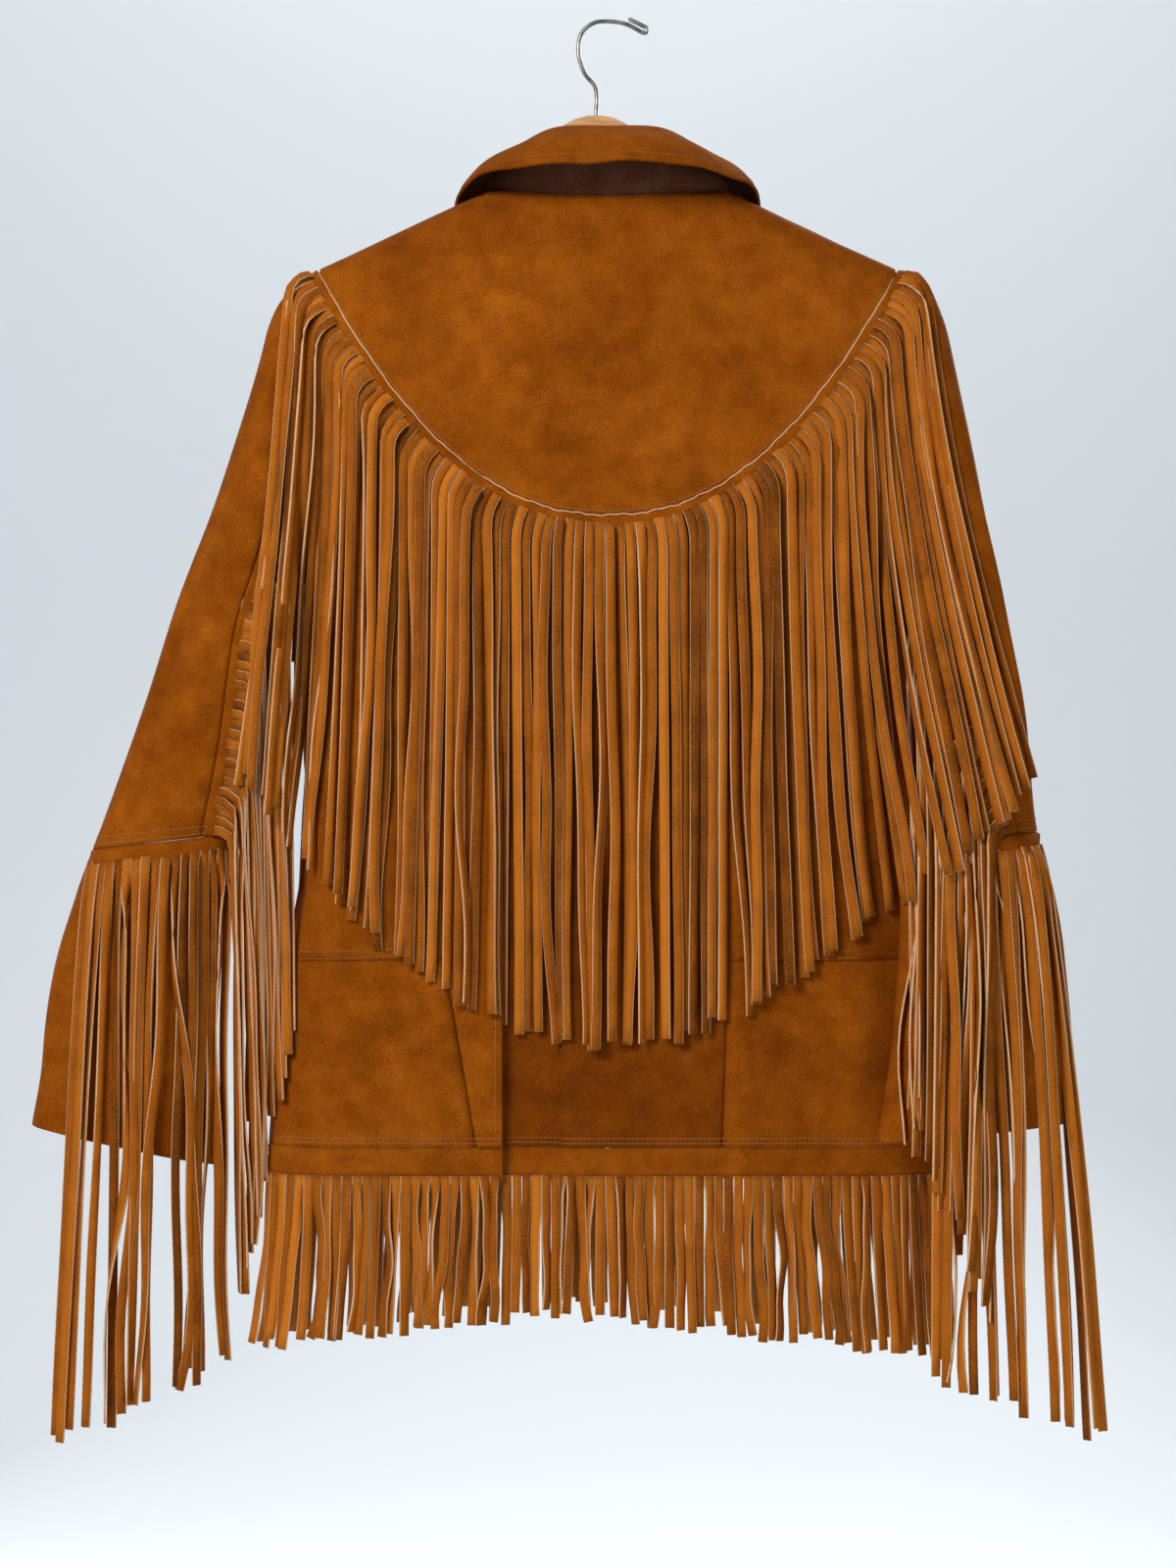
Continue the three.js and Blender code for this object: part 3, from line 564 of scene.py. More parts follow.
def underlap_edge(z):
    return VENT_X + SEAM - (VENT_LAP + SEAM) * (1 - ease(z, VENT_TOP - 50, VENT_TOP - 5))


body_piece("back_yoke", "yoke_back", BACK, 120, 62, level(-YOKE_END), level(YOKE_END),
           lambda x: top_line(x, BACK) - HALF, lambda x: yoke_seam(x, BACK) + HALF, ["hanger_board"],
           grooves=(False, False), lift=0.0)
body_piece("back_centre_flap", "back_centre_left", BACK, 14, 130, lambda z: princess_x(-1, z) + HALF,
           level(VENT_X),
           lambda x: yoke_seam(x, BACK) - HALF, lambda x: HEM_Z + HALF + 0 * x, ["back_yoke"],
           grooves=(True, False), lift=1.0)
centre = body_piece("back_centre_panel", "back_centre_right", BACK, 56, 130, underlap_edge,
                    lambda z: princess_x(1, z) - HALF,
           lambda x: yoke_seam(x, BACK) - HALF, lambda x: HEM_Z + HALF + 0 * x, ["back_yoke"],
           grooves=(False, True), recess=True)
# Painted shade: the centre panel's outer side takes the darker copy of the tan.
centre.data.materials[0] = SHADED_TAN
for label, hand in (("left", -1), ("right", 1)):
    def princess(z, hand=hand):
        return princess_x(hand, z) + hand * HALF

    def outer_edge(z, hand=hand):
        return hand * side_x(hand, z)

    body_piece(f"back_side_{label}_top", f"back_side_{label}_upper", BACK, 36, 90, princess, outer_edge,
               lambda x: yoke_seam(x, BACK) - HALF, lambda x: WAIST_Z + HALF + 0 * x, ["back_yoke"],
               crowd=True)
    body_piece(f"back_side_{label}_skirt", f"back_side_{label}_lower", BACK, 36, 36, princess, outer_edge,
               lambda x: WAIST_Z - HALF + 0 * x, lambda x: HEM_Z + HALF + 0 * x, [f"back_side_{label}_top"],
               crowd=True)
    body_piece(f"front_{label}_yoke", f"front_yoke_{label}", FRONT, 60, 50, level(hand * FRONT_GAP),
               level(hand * YOKE_END),
               lambda x: top_line(x, FRONT) - HALF, lambda x: yoke_seam(x, FRONT) + HALF, ["hanger_board"],
               grooves=(False, False))
    body_piece(f"front_{label}_panel", f"front_{label}", FRONT, 56, 130, level(hand * FRONT_GAP), outer_edge,
               lambda x: yoke_seam(x, FRONT) - HALF, lambda x: HEM_Z + HALF + 0 * x,
               [f"front_{label}_yoke"], crowd=True,
               grooves=(False, True))

# ---- Sleeves ------------------------------------------------------------------------
# Each is cut as a top and an under sleeve above the elbow and one lower sleeve below
# it.  They hang limp: the left one swings out, and the right one has turned so that
# its fringed back seam lies near the outer edge.
SLEEVE_SECTIONS = {
    # outer x and z, inner x and z, half depth, y, angle of the back seam
    "left": np.array((
        (216, -183, 227, -425, 0, 0, 92),
        (232, -195, 229.5, -431, 33, 0, 93),
        (248, -216, 231, -437, 38, 0, 94),
        (258, -252, 232, -443, 41, -1, 95),
        (284, -338, 233, -452, 43, -2, 96),
        (318, -430, 236, -468, 43, -3, 98),
        (350, -528, 250, -535, 42, -4, 110),
        (381, -612, 270, -600, 42, -4, 122),
        (398, -660, 279, -648, 42, -4, 124),
        (412, -715, 286, -700, 40, -5, 124),
        (418, -772, 288, -770, 37, -6, 124),
        (425, -815, 281, -845, 33, -7, 124),
    ), float),
    "right": np.array((
        (216, -183, 227, -425, 0, 0, 130),
        (230, -184, 229.5, -431, 33, 0, 130),
        (244, -207, 231, -437, 38, -3, 130),
        (255, -248, 231.5, -443, 40, -8, 128),
        (272, -338, 231, -452, 41, -17, 126),
        (289, -430, 229.5, -468, 40, -29, 122),
        (303, -512, 224, -530, 38, -45, 88),
        (311, -598, 214, -604, 38, -56, 49),
        (323, -642, 212, -650, 37, -59, 46),
        (331, -700, 209, -705, 36, -62, 46),
        (335, -760, 203, -765, 34, -64, 46),
        (338, -806, 194, -822, 30, -66, 46),
    ), float),
}
ELBOW, CUFF = 7, 11
# Creases of a sleeve: angles and sections of both ends, half width in degrees, height.
SLEEVE_CREASES = {
    "left": ((60, 3.2, 84, 6.2, 11, 3.5), (30, 4.2, 48, 6.8, 9, -3.5), (110, 4.0, 140, 6.0, 12, -3.5),
             (20, 6.3, 120, 6.75, 8, -3.0), (40, 7.3, 100, 7.7, 9, -3.0), (70, 7.6, 84, 10.8, 14, -4.5),
             (30, 8.0, 26, 10.9, 11, 3.5), (112, 7.8, 126, 10.9, 13, 4.0), (250, 2.5, 280, 6.4, 14, -4.0),
             (215, 4.0, 230, 6.8, 10, 3.5), (300, 4.6, 318, 6.9, 10, -3.0), (250, 7.4, 262, 10.9, 15, -4.0),
             (300, 7.6, 290, 10.9, 12, 3.5), (70, 0.8, 60, 2.8, 10, -2.5)),
    "right": ((70, 3.0, 60, 6.2, 12, -4.0), (35, 3.6, 25, 6.6, 9, 3.0), (100, 4.6, 96, 6.9, 12, 3.5),
              (130, 5.0, 60, 6.7, 8, -3.0), (90, 7.4, 84, 10.8, 14, -4.0), (50, 7.6, 40, 10.8, 11, 3.0),
              (130, 7.4, 140, 10.9, 12, 3.5), (250, 2.5, 270, 6.5, 14, -4.0), (300, 4.0, 310, 6.9, 11, 3.5),
              (220, 4.4, 232, 6.9, 10, -3.0), (262, 7.4, 268, 10.9, 14, -4.0),
              (310, 7.5, 305, 10.8, 12, 3.0)),
}


def spline_rows(rows, q):
    """Smooth values between a table's rows, at row numbers q: one more axis for the columns."""
    q = np.asarray(q, float)
    last = len(rows) - 1
    k = np.clip(np.floor(q).astype(int), 0, last - 1)
    t = (q - k)[..., None]
    a, b, c, d = (rows[np.clip(k + step, 0, last)] for step in (-1, 0, 1, 2))
    return b + 0.5 * t * (c - a + t * (2 * a - 5 * b + 4 * c - d + t * (3 * (b - c) + d - a)))


def sleeve_point(label, angle, q):
    rows = SLEEVE_SECTIONS[label]
    hand = -1 if label == "left" else 1
    turn = np.radians(angle)
    share = (1 + np.cos(turn)) / 2
    at = spline_rows(rows, np.maximum(q, 1.0))
    first = spline_rows(rows, np.ones_like(q))
    def section(s):
        return np.stack([hand * lerp(s[..., 2], s[..., 0], share), s[..., 5] - s[..., 4] * np.sin(turn),
                         lerp(s[..., 3], s[..., 1], share)], axis=-1)
    z = lerp(ARMPIT_Z, TIP_Z, share)
    x = hand * armhole_x(z)
    back = np.sin(turn) > 0
    depth = np.where(back, -body_depth(x, z, BACK), body_depth(x, z, FRONT))
    armhole = np.stack([x + hand * 0.8, depth, z], axis=-1)
    return np.where((q >= 1)[..., None], section(at),
                    lerp(armhole, section(first), np.clip(q, 0, 1)[..., None]))


def seam_angle(label, q):
    return spline_rows(SLEEVE_SECTIONS[label], q)[..., 6]


def sleeve_crease_height(label, angle, q):
    height = 0.5 * np.sin(np.radians(angle) * 3 + q * 2.1) * np.sin(q * 3.3 + 1.0)
    for a0, q0, a1, q1, wide, high in SLEEVE_CREASES[label]:
        reach = np.array(((a1 - a0) / 40, q1 - q0), float)
        off = ((angle - a0 + 180) % 360 - 180) / 40
        t = np.clip((off * reach[0] + (q - q0) * reach[1]) / reach.dot(reach), 0, 1)
        away = np.hypot(off - t * reach[0], q - q0 - t * reach[1]) * 40
        height = height + high * np.exp(-(away / wide) ** 2) * np.sin(math.pi * np.clip(t, 0.1, 0.95)) ** 0.6
    return height * np.clip(q - 0.3, 0, 1)


def sleeve_grid(label, angle, q, sink=0.0):
    grid = sleeve_point(label, angle, q)
    hand = -1 if label == "left" else 1
    step_a = sleeve_point(label, angle + 0.5, q) - sleeve_point(label, angle - 0.5, q)
    step_q = sleeve_point(label, angle, q + 0.01) - sleeve_point(label, angle, q - 0.01)
    outward = np.cross(step_a, step_q) * hand
    outward /= np.maximum(np.linalg.norm(outward, axis=2), 1e-9)[..., None]
    return grid + outward * (sleeve_crease_height(label, angle, q) + sink)[..., None], outward, grid


for label, hand in (("left", -1), ("right", 1)):
    for part, start in (("top", -180), ("under", 0)):
        u, q = np.meshgrid(np.linspace(0, 1, 57), np.linspace(0, ELBOW - 0.004, 150))
        angle = seam_angle(label, q) + start + lerp(0.2, 179.8, u)
        groove = -0.8 * np.exp(-(np.minimum(u, 1 - u) * 140 / 2.2) ** 2)
        grid, outward, flat = sleeve_grid(label, angle, q, groove)
        piece = shell(f"sleeve_{label}_{part}", grid, outward, CLOTH)
        finish_piece(piece, "suede", f"{part}_sleeve_{label}")
        declare_cloth(flat)
    angle, q = np.meshgrid(np.linspace(0, 360, 97)[:-1], np.linspace(ELBOW + 0.004, CUFF, 84))
    grid, outward, flat = sleeve_grid(label, angle, q, 0.0 * q)
    piece = shell(f"sleeve_{label}_lower", grid, outward, CLOTH, wrap=True)
    finish_piece(piece, "suede", f"lower_sleeve_{label}")
    declare_cloth(np.concatenate([flat, flat[:, :1]], axis=1))

# ---- Collar ---------------------------------------------------------------------------
# A wide leaf of the same suede that stands out over the yoke, top-stitched near its
# edge, on a stand and undercollar painted dark brown: painted shade, for where the
# leaf shades them.
COLLAR = np.array((
    # neckline x, y, z; fold x, y, z; outer edge x, y, z; from centre back to the front
    (0, -38, -132.5, 0, -36, -86, 0, -80, -119),
    (40, -34, -131, 38, -32, -86.5, 46, -77, -119),
    (74, -22, -127, 64, -18, -97, 84, -56, -122),
    (91, 0, -124, 80, 0, -108, 109, -10, -129),
    (84, 15, -142, 77, 19, -130, 113, 36, -151),
    (62, 27, -171, 58, 34, -158, 101, 49, -188),
    (30, 34, -193.5, 28, 41, -186, 70, 52, -226),
), float)
COLLAR_END = len(COLLAR) - 1
# Dark brown for the stand, the undercollar and the leaf's underside: painted shade, for where the leaf shades
# them.
DARK = brushed_suede("dark_suede_painted_shade", "#4a2a1c", "#613a28", "#765039")


def collar_grid(lower, upper, columns, rows, bow):
    """A stretch of the collar between two of its lines (0 neckline, 1 fold, 2 edge), bowed out."""
    a, t = np.meshgrid(np.linspace(-COLLAR_END, COLLAR_END, columns + 1), np.linspace(0, 1, rows + 1))
    at = spline_rows(COLLAR, np.abs(a))
    mirror = np.stack([np.sign(a), np.ones_like(a), np.ones_like(a)], axis=-1)
    line = [at[..., 3 * k:3 * k + 3] * mirror for k in (0, 1, 2)]
    grid = lerp(line[lower], line[upper], t[..., None])
    normals = grid_normals(grid)
    return grid, normals, bow * np.sin(math.pi * t), a, t


grid, normals, bow, a, t = collar_grid(0, 1, 150, 14, 1.5)
outward = normals * np.where(normals[7, 75, 1] > 0, -1, 1)
tucked = 1 - ease(t, 0.0, 0.2)
grid = grid - outward * (2.4 * tucked)[..., None] - np.array((0, 0, 5.0)) * tucked[..., None]
stand = shell("collar_stand_and_undercollar", grid + outward * (bow - 0.3)[..., None], outward,
              [DARK, DARK, DARK])
finish_piece(stand, "dark_suede", "collar_stand")
declare_cloth(grid)

grid, normals, bow, a, t = collar_grid(1, 2, 190, 22, 5.0)
upward = normals * np.where(normals[11, 95, 2] < 0, -1, 1)
roll = 1.2 * np.exp(-(t / 0.12) ** 2)
wave = 1.2 * t * np.sin(a * 2.3 + 0.6) + 0.7 * t * np.sin(a * 5.1)
leaf_grid = grid + upward * (2.2 + bow + wave)[..., None] + np.array((0, 0, 1.0)) * roll[..., None]
upward = grid_normals(leaf_grid)
upward *= np.where(upward[11, 95, 2] < 0, -1, 1)
# The leaf's underside is dark brown as painted shade.
leaf = shell("collar_leaf_suede", leaf_grid, upward, [TAN, DARK, TAN], 1.8)
finish_piece(leaf, "suede", "collar_leaf")
declare_cloth(grid)

# ---- Fringe -----------------------------------------------------------------------------
# Strips of the same suede, left whole for a narrow band where they are sewn into the
# seam and cut below it into strands 7 mm wide.  A strand leaves square to its seam and
# then hangs by its own weight over whatever is under it.
PITCH = 7.2
STRAND_WIDE = 7.0
STRAND_THICK = 1.3
BAND = 12
# How much the strands differ in width.
NARROWEST, WIDEST = 0.92, 1.03
chance = random.Random(11)


def strand_suede(name, deep, middle, light, edge_colour):
    """The cut strands: worn smoother and more orange than the panels, each of its own
    tone, with faint streaks along it and a paler rim where the knife went through.
    The tone of each strand is painted sheen, for the nap of strands turned differently
    to the light."""
    material, tree = new_material(name)
    place = add_node(tree, "ShaderNodeTexCoord").outputs["Object"]
    # The tone attribute is painted sheen: each strand lighter or darker for how its nap would catch the
    # light.
    tone = add_node(tree, "ShaderNodeAttribute", {"attribute_name": "tone"}).outputs["Fac"]
    rim = add_node(tree, "ShaderNodeAttribute", {"attribute_name": "rim"}).outputs["Fac"]
    # Streaks 2 mm wide run down the strand; blotches are about 25 mm.
    stretched = add_node(tree, "ShaderNodeMapping", {"Scale": (420, 420, 34)}, {0: place})
    streaks = add_node(tree, "ShaderNodeTexNoise", {"Scale": 1.0, "Detail": 4.0},
                       {"Vector": stretched.outputs[0]})
    blotch = add_node(tree, "ShaderNodeTexNoise", {"Scale": 38.0, "Detail": 3.0}, {"Vector": place})
    fibres = add_node(tree, "ShaderNodeTexNoise", {"Scale": 900.0, "Detail": 3.0}, {"Vector": place})
    one = add_node(tree, "ShaderNodeMath", {"operation": "MULTIPLY_ADD", 1: 0.2},
                   {0: streaks.outputs[0], 2: tone})
    two = add_node(tree, "ShaderNodeMath", {"operation": "MULTIPLY_ADD", 1: 0.34},
                   {0: blotch.outputs[0], 2: one.outputs[0]})
    nap = add_node(tree, "ShaderNodeMath", {"operation": "MULTIPLY_ADD", 1: 0.5},
                   {0: fibres.outputs[0], 2: two.outputs[0]})
    ramp = add_node(tree, "ShaderNodeValToRGB", links={0: nap.outputs[0]})
    ramp.color_ramp.elements[0].color = linear(deep)
    ramp.color_ramp.elements[0].position = 0.28
    ramp.color_ramp.elements[1].color = linear(light)
    ramp.color_ramp.elements[1].position = 0.85
    ramp.color_ramp.elements.new(0.52).color = linear(middle)
    worn = add_node(tree, "ShaderNodeMapRange", {"From Min": 0.8, "From Max": 0.97, "To Max": 0.9},
                    {"Value": rim})
    mixed = add_node(tree, "ShaderNodeMix", {"data_type": "RGBA", 7: linear(edge_colour)},
                     {0: worn.outputs[0], 6: ramp.outputs[0]})
    bump = add_node(tree, "ShaderNodeBump", {"Strength": 0.25, "Distance": 0.0005},
                    {"Height": fibres.outputs[0]})
    soft = add_node(tree, "ShaderNodeBump", {"Strength": 0.25, "Distance": 0.0015},
                    {"Height": streaks.outputs[0], "Normal": bump.outputs[0]})
    shader = add_node(tree, "ShaderNodeBsdfPrincipled",
                      {"Roughness": 0.7, "Specular IOR Level": 0.06, "Sheen Weight": 0.05,
                       "Sheen Roughness": 0.4, "Sheen Tint": linear("#e8923c")},
                      {"Base Color": mixed.outputs[2], "Normal": soft.outputs[0]})
    add_node(tree, "ShaderNodeOutputMaterial", links={"Surface": shader.outputs[0]})
    return material


STRAND_FACE = strand_suede("strand_face", "#633206", "#9a520f", "#c26e1c", "#e0b488")
STRAND_BACK = strand_suede("strand_flesh_side", "#7a4012", "#9c5c20", "#b87838", "#d8a878")
FRINGE = [STRAND_FACE, STRAND_BACK, CUT_EDGE, TAN]


def tree_of(pieces):
    """Everything that some pieces show, in millimetres, to be felt for with rays."""
    points, faces = [], []
    for piece in pieces:
        start = len(points)
        points += [tuple(v.co / MM) for v in piece.data.vertices]
        faces += [tuple(start + k for k in face.vertices) for face in piece.data.polygons]
    return BVHTree.FromPolygons(points, faces)


def depth_at(tree, x, z, side):
    """How far out from the hanger's plane the pieces reach at x, z, or None where nothing is."""
    place, _, _, _ = tree.ray_cast(Vector((x, side * 400, z)), Vector((0, -side, 0)))
    return None if place is None else side * place.y


def hang(tree, start, leave, length, hook, swing, side, clear, steps=26, fall=0.1, rise=0.3, bulge=0.0,
         bow=1.5):
    """The line of one strand: square to its seam at first, then down over what is there."""
    share = (np.arange(steps + 1) / steps) ** 1.25
    along = share * length
    step = np.diff(along)
    turn = ease(along[:-1] + step / 2, 0, max(hook, 1))
    way = lerp(np.array(leave), np.array((0.0, -1.0)), turn[:, None])
    way /= np.linalg.norm(way, axis=1)[:, None]
    flat = np.vstack([(start[0], start[2]), (start[0], start[2]) + np.cumsum(way * step[:, None], axis=0)])
    drift, wave, bends, phase = swing
    flat[:, 0] += drift * share ** bow
    flat[:, 0] += wave * (np.sin(share * bends + phase) - math.sin(phase)) * share ** 0.5
    flat[:, 0] += 0.4 * wave * (np.sin(share * 13 + 2 * phase) - math.sin(2 * phase)) * share ** 0.5
    depth = [side * start[1]]
    for k in range(1, steps + 1):
        rest = None if tree is None else depth_at(tree, flat[k, 0], flat[k, 1], side)
        free = depth[-1] - fall * step[k - 1]
        depth.append(free if rest is None else max(free, rest + clear))
    depth = np.array(depth)
    for k in range(steps - 1, 0, -1):
        depth[k] = max(depth[k], depth[k + 1] - rise * step[k])
    depth = depth + bulge * np.sin(math.pi * np.clip(along / max(hook * 1.6, 1), 0, 1))
    for _ in range(3):
        depth[1:-1] = np.maximum(depth[1:-1] * 0.999, (depth[:-2] + 2 * depth[1:-1] + depth[2:]) / 4)
    return np.stack([flat[:, 0], side * depth, flat[:, 1]], axis=1)


def ribbon(line, first_across, side, turn_end, twist, wide, curl):
    """Points and faces of one strand along its line; it turns from the seam's own direction
    to turn_end, with a slow twist on the way."""
    count = len(line)
    share = np.linspace(0, 1, count)
    ahead = np.gradient(line, axis=0)
    ahead /= np.linalg.norm(ahead, axis=1)[:, None]
    angle = turn_end + twist[0] * np.sin(share * twist[1] + twist[2])
    last = np.stack([np.cos(angle), side * np.sin(angle), 0 * angle], axis=1)
    if np.dot(first_across, last[0]) < 0:
        first_across = -np.asarray(first_across)
    across = lerp(np.asarray(first_across), last, ease(share, 0.0, 0.22)[:, None])
    across -= ahead * np.einsum("ij,ij->i", across, ahead)[:, None]
    across /= np.linalg.norm(across, axis=1)[:, None]
    out = np.cross(ahead, across)
    out *= np.where(out[:, 1] * side < 0, -1, 1)[:, None]
    points, faces, kinds = [], [], []
    for layer in (0.5, -0.5):
        for place in (-1, 0, 1):
            bent = out * (layer * STRAND_THICK + curl * (1 - place * place) * ease(share, 0.02, 0.3)[:, None])
            points.append(line + across * (place * wide / 2) + bent)
    points = np.concatenate(points)
    number = np.arange(6 * count).reshape(6, count)
    ring = [number[0], number[1], number[2], number[5], number[4], number[3]]
    for k in range(6):
        a, b = ring[k], ring[(k + 1) % 6]
        faces.append(np.stack([a[:-1], b[:-1], b[1:], a[1:]], axis=1))
        kinds += [(0, 0, 2, 1, 1, 2)[k]] * (count - 1)
    for end in (0, -1):
        cap = [r[end] for r in ring]
        faces.append(np.array([(cap[0], cap[1], cap[4], cap[5]), (cap[1], cap[2], cap[3], cap[4])]))
        kinds += [2, 2]
    faces = facing_out(points, np.concatenate(faces))
    # The knife leaned: one side of a strand shows more of the pale middle than the other.
    near, far = (1.0, 0.86) if chance.random() < 0.4 else (0.86, 1.0)
    rim = np.tile(np.array([near, 0, far, near, 0, far]), (count, 1)).T.ravel()
    return points, faces, kinds, rim


def evenly(line, pitch, start=0.5):
    """Places and directions every pitch along a line of points."""
    length = np.concatenate([[0], np.cumsum(np.linalg.norm(np.diff(line, axis=0), axis=1))])
    at = np.arange(start * pitch, length[-1], pitch)
    places = np.stack([np.interp(at, length, line[:, k]) for k in range(3)], axis=1)
    ahead = np.stack([np.interp(at, length, g) for g in np.gradient(line, length, axis=0).T], axis=1)
    return places, ahead / np.linalg.norm(ahead, axis=1)[:, None]


def join_strands(name, strands, band=None):
    """One mesh of many strands, each with its own tone, and of the band they are cut from."""
    points, faces, kinds, tones, rims, smooth = [], [], [], [], [], []
    start = 0
    for block_points, block_faces, block_kinds, rim, tone in strands + ([band] if band else []):
        points.append(block_points)
        faces += (np.asarray(block_faces) + start).tolist()
        kinds += list(block_kinds)
        tones.append(np.full(len(block_points), tone))
        rims.append(rim)
        start += len(block_points)
    piece = mesh_piece(name, np.concatenate(points), faces, FRINGE, kinds, np.isin(kinds, (0, 1, 3)))
    for label, values in (("tone", tones), ("rim", rims)):
        attribute = piece.data.attributes.new(label, "FLOAT", "POINT")
        attribute.data.foreach_set("value", np.concatenate(values).astype(np.float32))
    return piece


def band_block(top, bottom, side):
    """The uncut band between its seam line and the line where the cuts start."""
    rows = 4
    grid = np.stack([lerp(top, bottom, k / rows) for k in range(rows + 1)])
    normals = grid_normals(grid)
    normals *= np.where(np.median(normals[..., 1]) * side < 0, -1, 1)
    points, faces, kinds = skin(grid, normals, STRAND_THICK, outer_kind=3)
    return points, faces, kinds, np.zeros(len(points)), 0.1


def finish_fringe(piece, node):
    finish_piece(piece, "fringe_suede", node)


def tone():
    """Most strands are alike; some are paler and some darker: painted sheen, for the nap of
    strands that turn differently to the light.
    """
    return chance.gauss(0.03, 0.1) + (0.2 if chance.random() < 0.14 else 0)


made = {piece.name: piece for piece in bpy.data.objects if piece.type == "MESH"}


# The hem fringe ends at this height in the middle and is a little longer at the sides.
HEM_FRINGE_Z = -952


def hem_fringe(name, node, side, x_from, x_to, recess=False):
    """Hem fringe: it hangs straight from the hem and flares a little at the sides."""
    x = np.linspace(x_from, x_to, 160)
    lines = []
    for z in (HEM_Z - HALF, HEM_Z - 22):
        s = way_down(x, z + 0 * x, side)
        edge = half_width(x, z) - SEAM
        kept = np.clip(x, -edge, edge)
        line = body_point(kept, s, side)
        line[:, 1] += vent_recess(kept, z) if recess else 0
        line[:, 1] += side * crease_height(line, side)
        lines.append(line)
    places, ahead = evenly(lines[1], PITCH)
    strands = []
    for place, across in zip(places, ahead):
        length = place[2] - HEM_FRINGE_Z + 0.12 * abs(place[0] + 30) + chance.uniform(-5, 5)
        sway = (place[0] * 0.03 + chance.gauss(0, 2.2), chance.gauss(0, 1.5), 5.0, chance.uniform(0, 6))
        line = hang(None, place + (0, 0, 1.5), (0.0, -1.0), length, 10, sway, side, 0, 16,
                    chance.uniform(-0.03, 0.02))
        facing = math.copysign(1, across[0])
        turn = math.atan2(facing * across[1] * side, facing * across[0]) + chance.gauss(0, 0.3)
        twist = (chance.gauss(0, 0.35), 4.0, chance.uniform(0, 6))
        wide = STRAND_WIDE * chance.uniform(NARROWEST, WIDEST)
        strands.append((*ribbon(line, across, side, turn, twist, wide, chance.gauss(0, 0.45)), tone()))
    piece = join_strands(name, strands, band_block(lines[0], lines[1], side))
    finish_fringe(piece, node)
    made[name] = piece


hem_fringe("hem_fringe_left", "hem_fringe_back_left", BACK, -251.6, VENT_X)
hem_fringe("hem_fringe_right", "hem_fringe_back_right", BACK, VENT_X - VENT_LAP, 249.6, True)
hem_fringe("front_hem_fringe_left", "hem_fringe_front_left", FRONT, -251.6, -FRONT_GAP)
hem_fringe("front_hem_fringe_right", "hem_fringe_front_right", FRONT, FRONT_GAP, 249.6)


def seam_fringe(name, node, side, seam, leaves, length, under, hook, swing_of, clear=1.6,
                spread=3.0, curl=0.5, twist=0.22, fall=0.1, band=BAND, steps=26, length_of=None,
                pitch=PITCH, bow=1.5):
    """Fringe sewn into a seam line, hanging over the pieces under it."""
    tree = tree_of([made[k] for k in under])
    lower = seam.copy()
    lower[:, [0, 2]] += leaves * band
    for line, gap in ((seam, -0.9), (lower, 0.8)):
        for point in line:
            rest = depth_at(tree, point[0], point[2], side)
            if rest is not None:
                point[1] = side * max(rest + gap + STRAND_THICK, side * point[1] - 6)
    places, ahead = evenly(lower, pitch)
    leave_x = np.interp(places[:, 0], *sorted_pair(lower[:, 0], leaves[:, 0]))
    strands = []
    for number, (place, across) in enumerate(zip(places, ahead)):
        leave = (leave_x[number], -math.sqrt(max(0.0, 1 - leave_x[number] ** 2)))
        share = number / max(1, len(places) - 1)
        gap = abs(across[0]) * PITCH
        lean = math.asin(min(0.85, 1.35 / max(gap, 0.1))) if gap < 6.0 else 0.0
        lean *= -1 if leave[0] < 0 else 1
        sway = (swing_of(place, share) + chance.gauss(0, spread), chance.gauss(0, spread * 0.7),
                chance.uniform(3, 6), chance.uniform(0, 6))
        own = (length_of(place, share) if length_of else length) - band + chance.uniform(-5, 5)
        back_in = chance.uniform(0, 3.2)
        start = place + (0, 0, 1.0) - back_in * np.array((leave[0], 0, leave[1]))
        layer = clear + chance.choice((0.0, 2.6, 5.2)) + chance.uniform(0, 1.2)
        line = hang(tree, start, leave, own, hook, sway, side, layer, steps, fall,
                    bulge=4.5 * abs(leave[0]), bow=bow)
        turn = lean + chance.gauss(0, 0.3)
        turning = (chance.gauss(0, twist), 5.0, chance.uniform(0, 6))
        wide = STRAND_WIDE * chance.uniform(NARROWEST, WIDEST)
        strands.append((*ribbon(line, across, side, turn, turning, wide, chance.gauss(0, curl)), tone()))
    piece = join_strands(name, strands, band_block(seam, lower, side))
    finish_fringe(piece, node)
    made[name] = piece


def sorted_pair(x, y):
    order = np.argsort(x)
    return x[order], y[order]


def square_leaves(seam, towards):
    """The direction square to a seam in x and z, on the side that towards points to."""
    ahead = np.gradient(seam[:, [0, 2]], axis=0)
    ahead /= np.linalg.norm(ahead, axis=1)[:, None]
    square = np.stack([ahead[:, 1], -ahead[:, 0]], axis=1)
    square *= np.where(square @ np.asarray(towards, float) < 0, -1, 1)[:, None]
    return square


def sleeve_line(label, angles, q, raise_by):
    grid, outward, _ = sleeve_grid(label, np.array([angles, angles]), np.array([q, q]), 0.0)
    return (grid + outward * raise_by)[0]


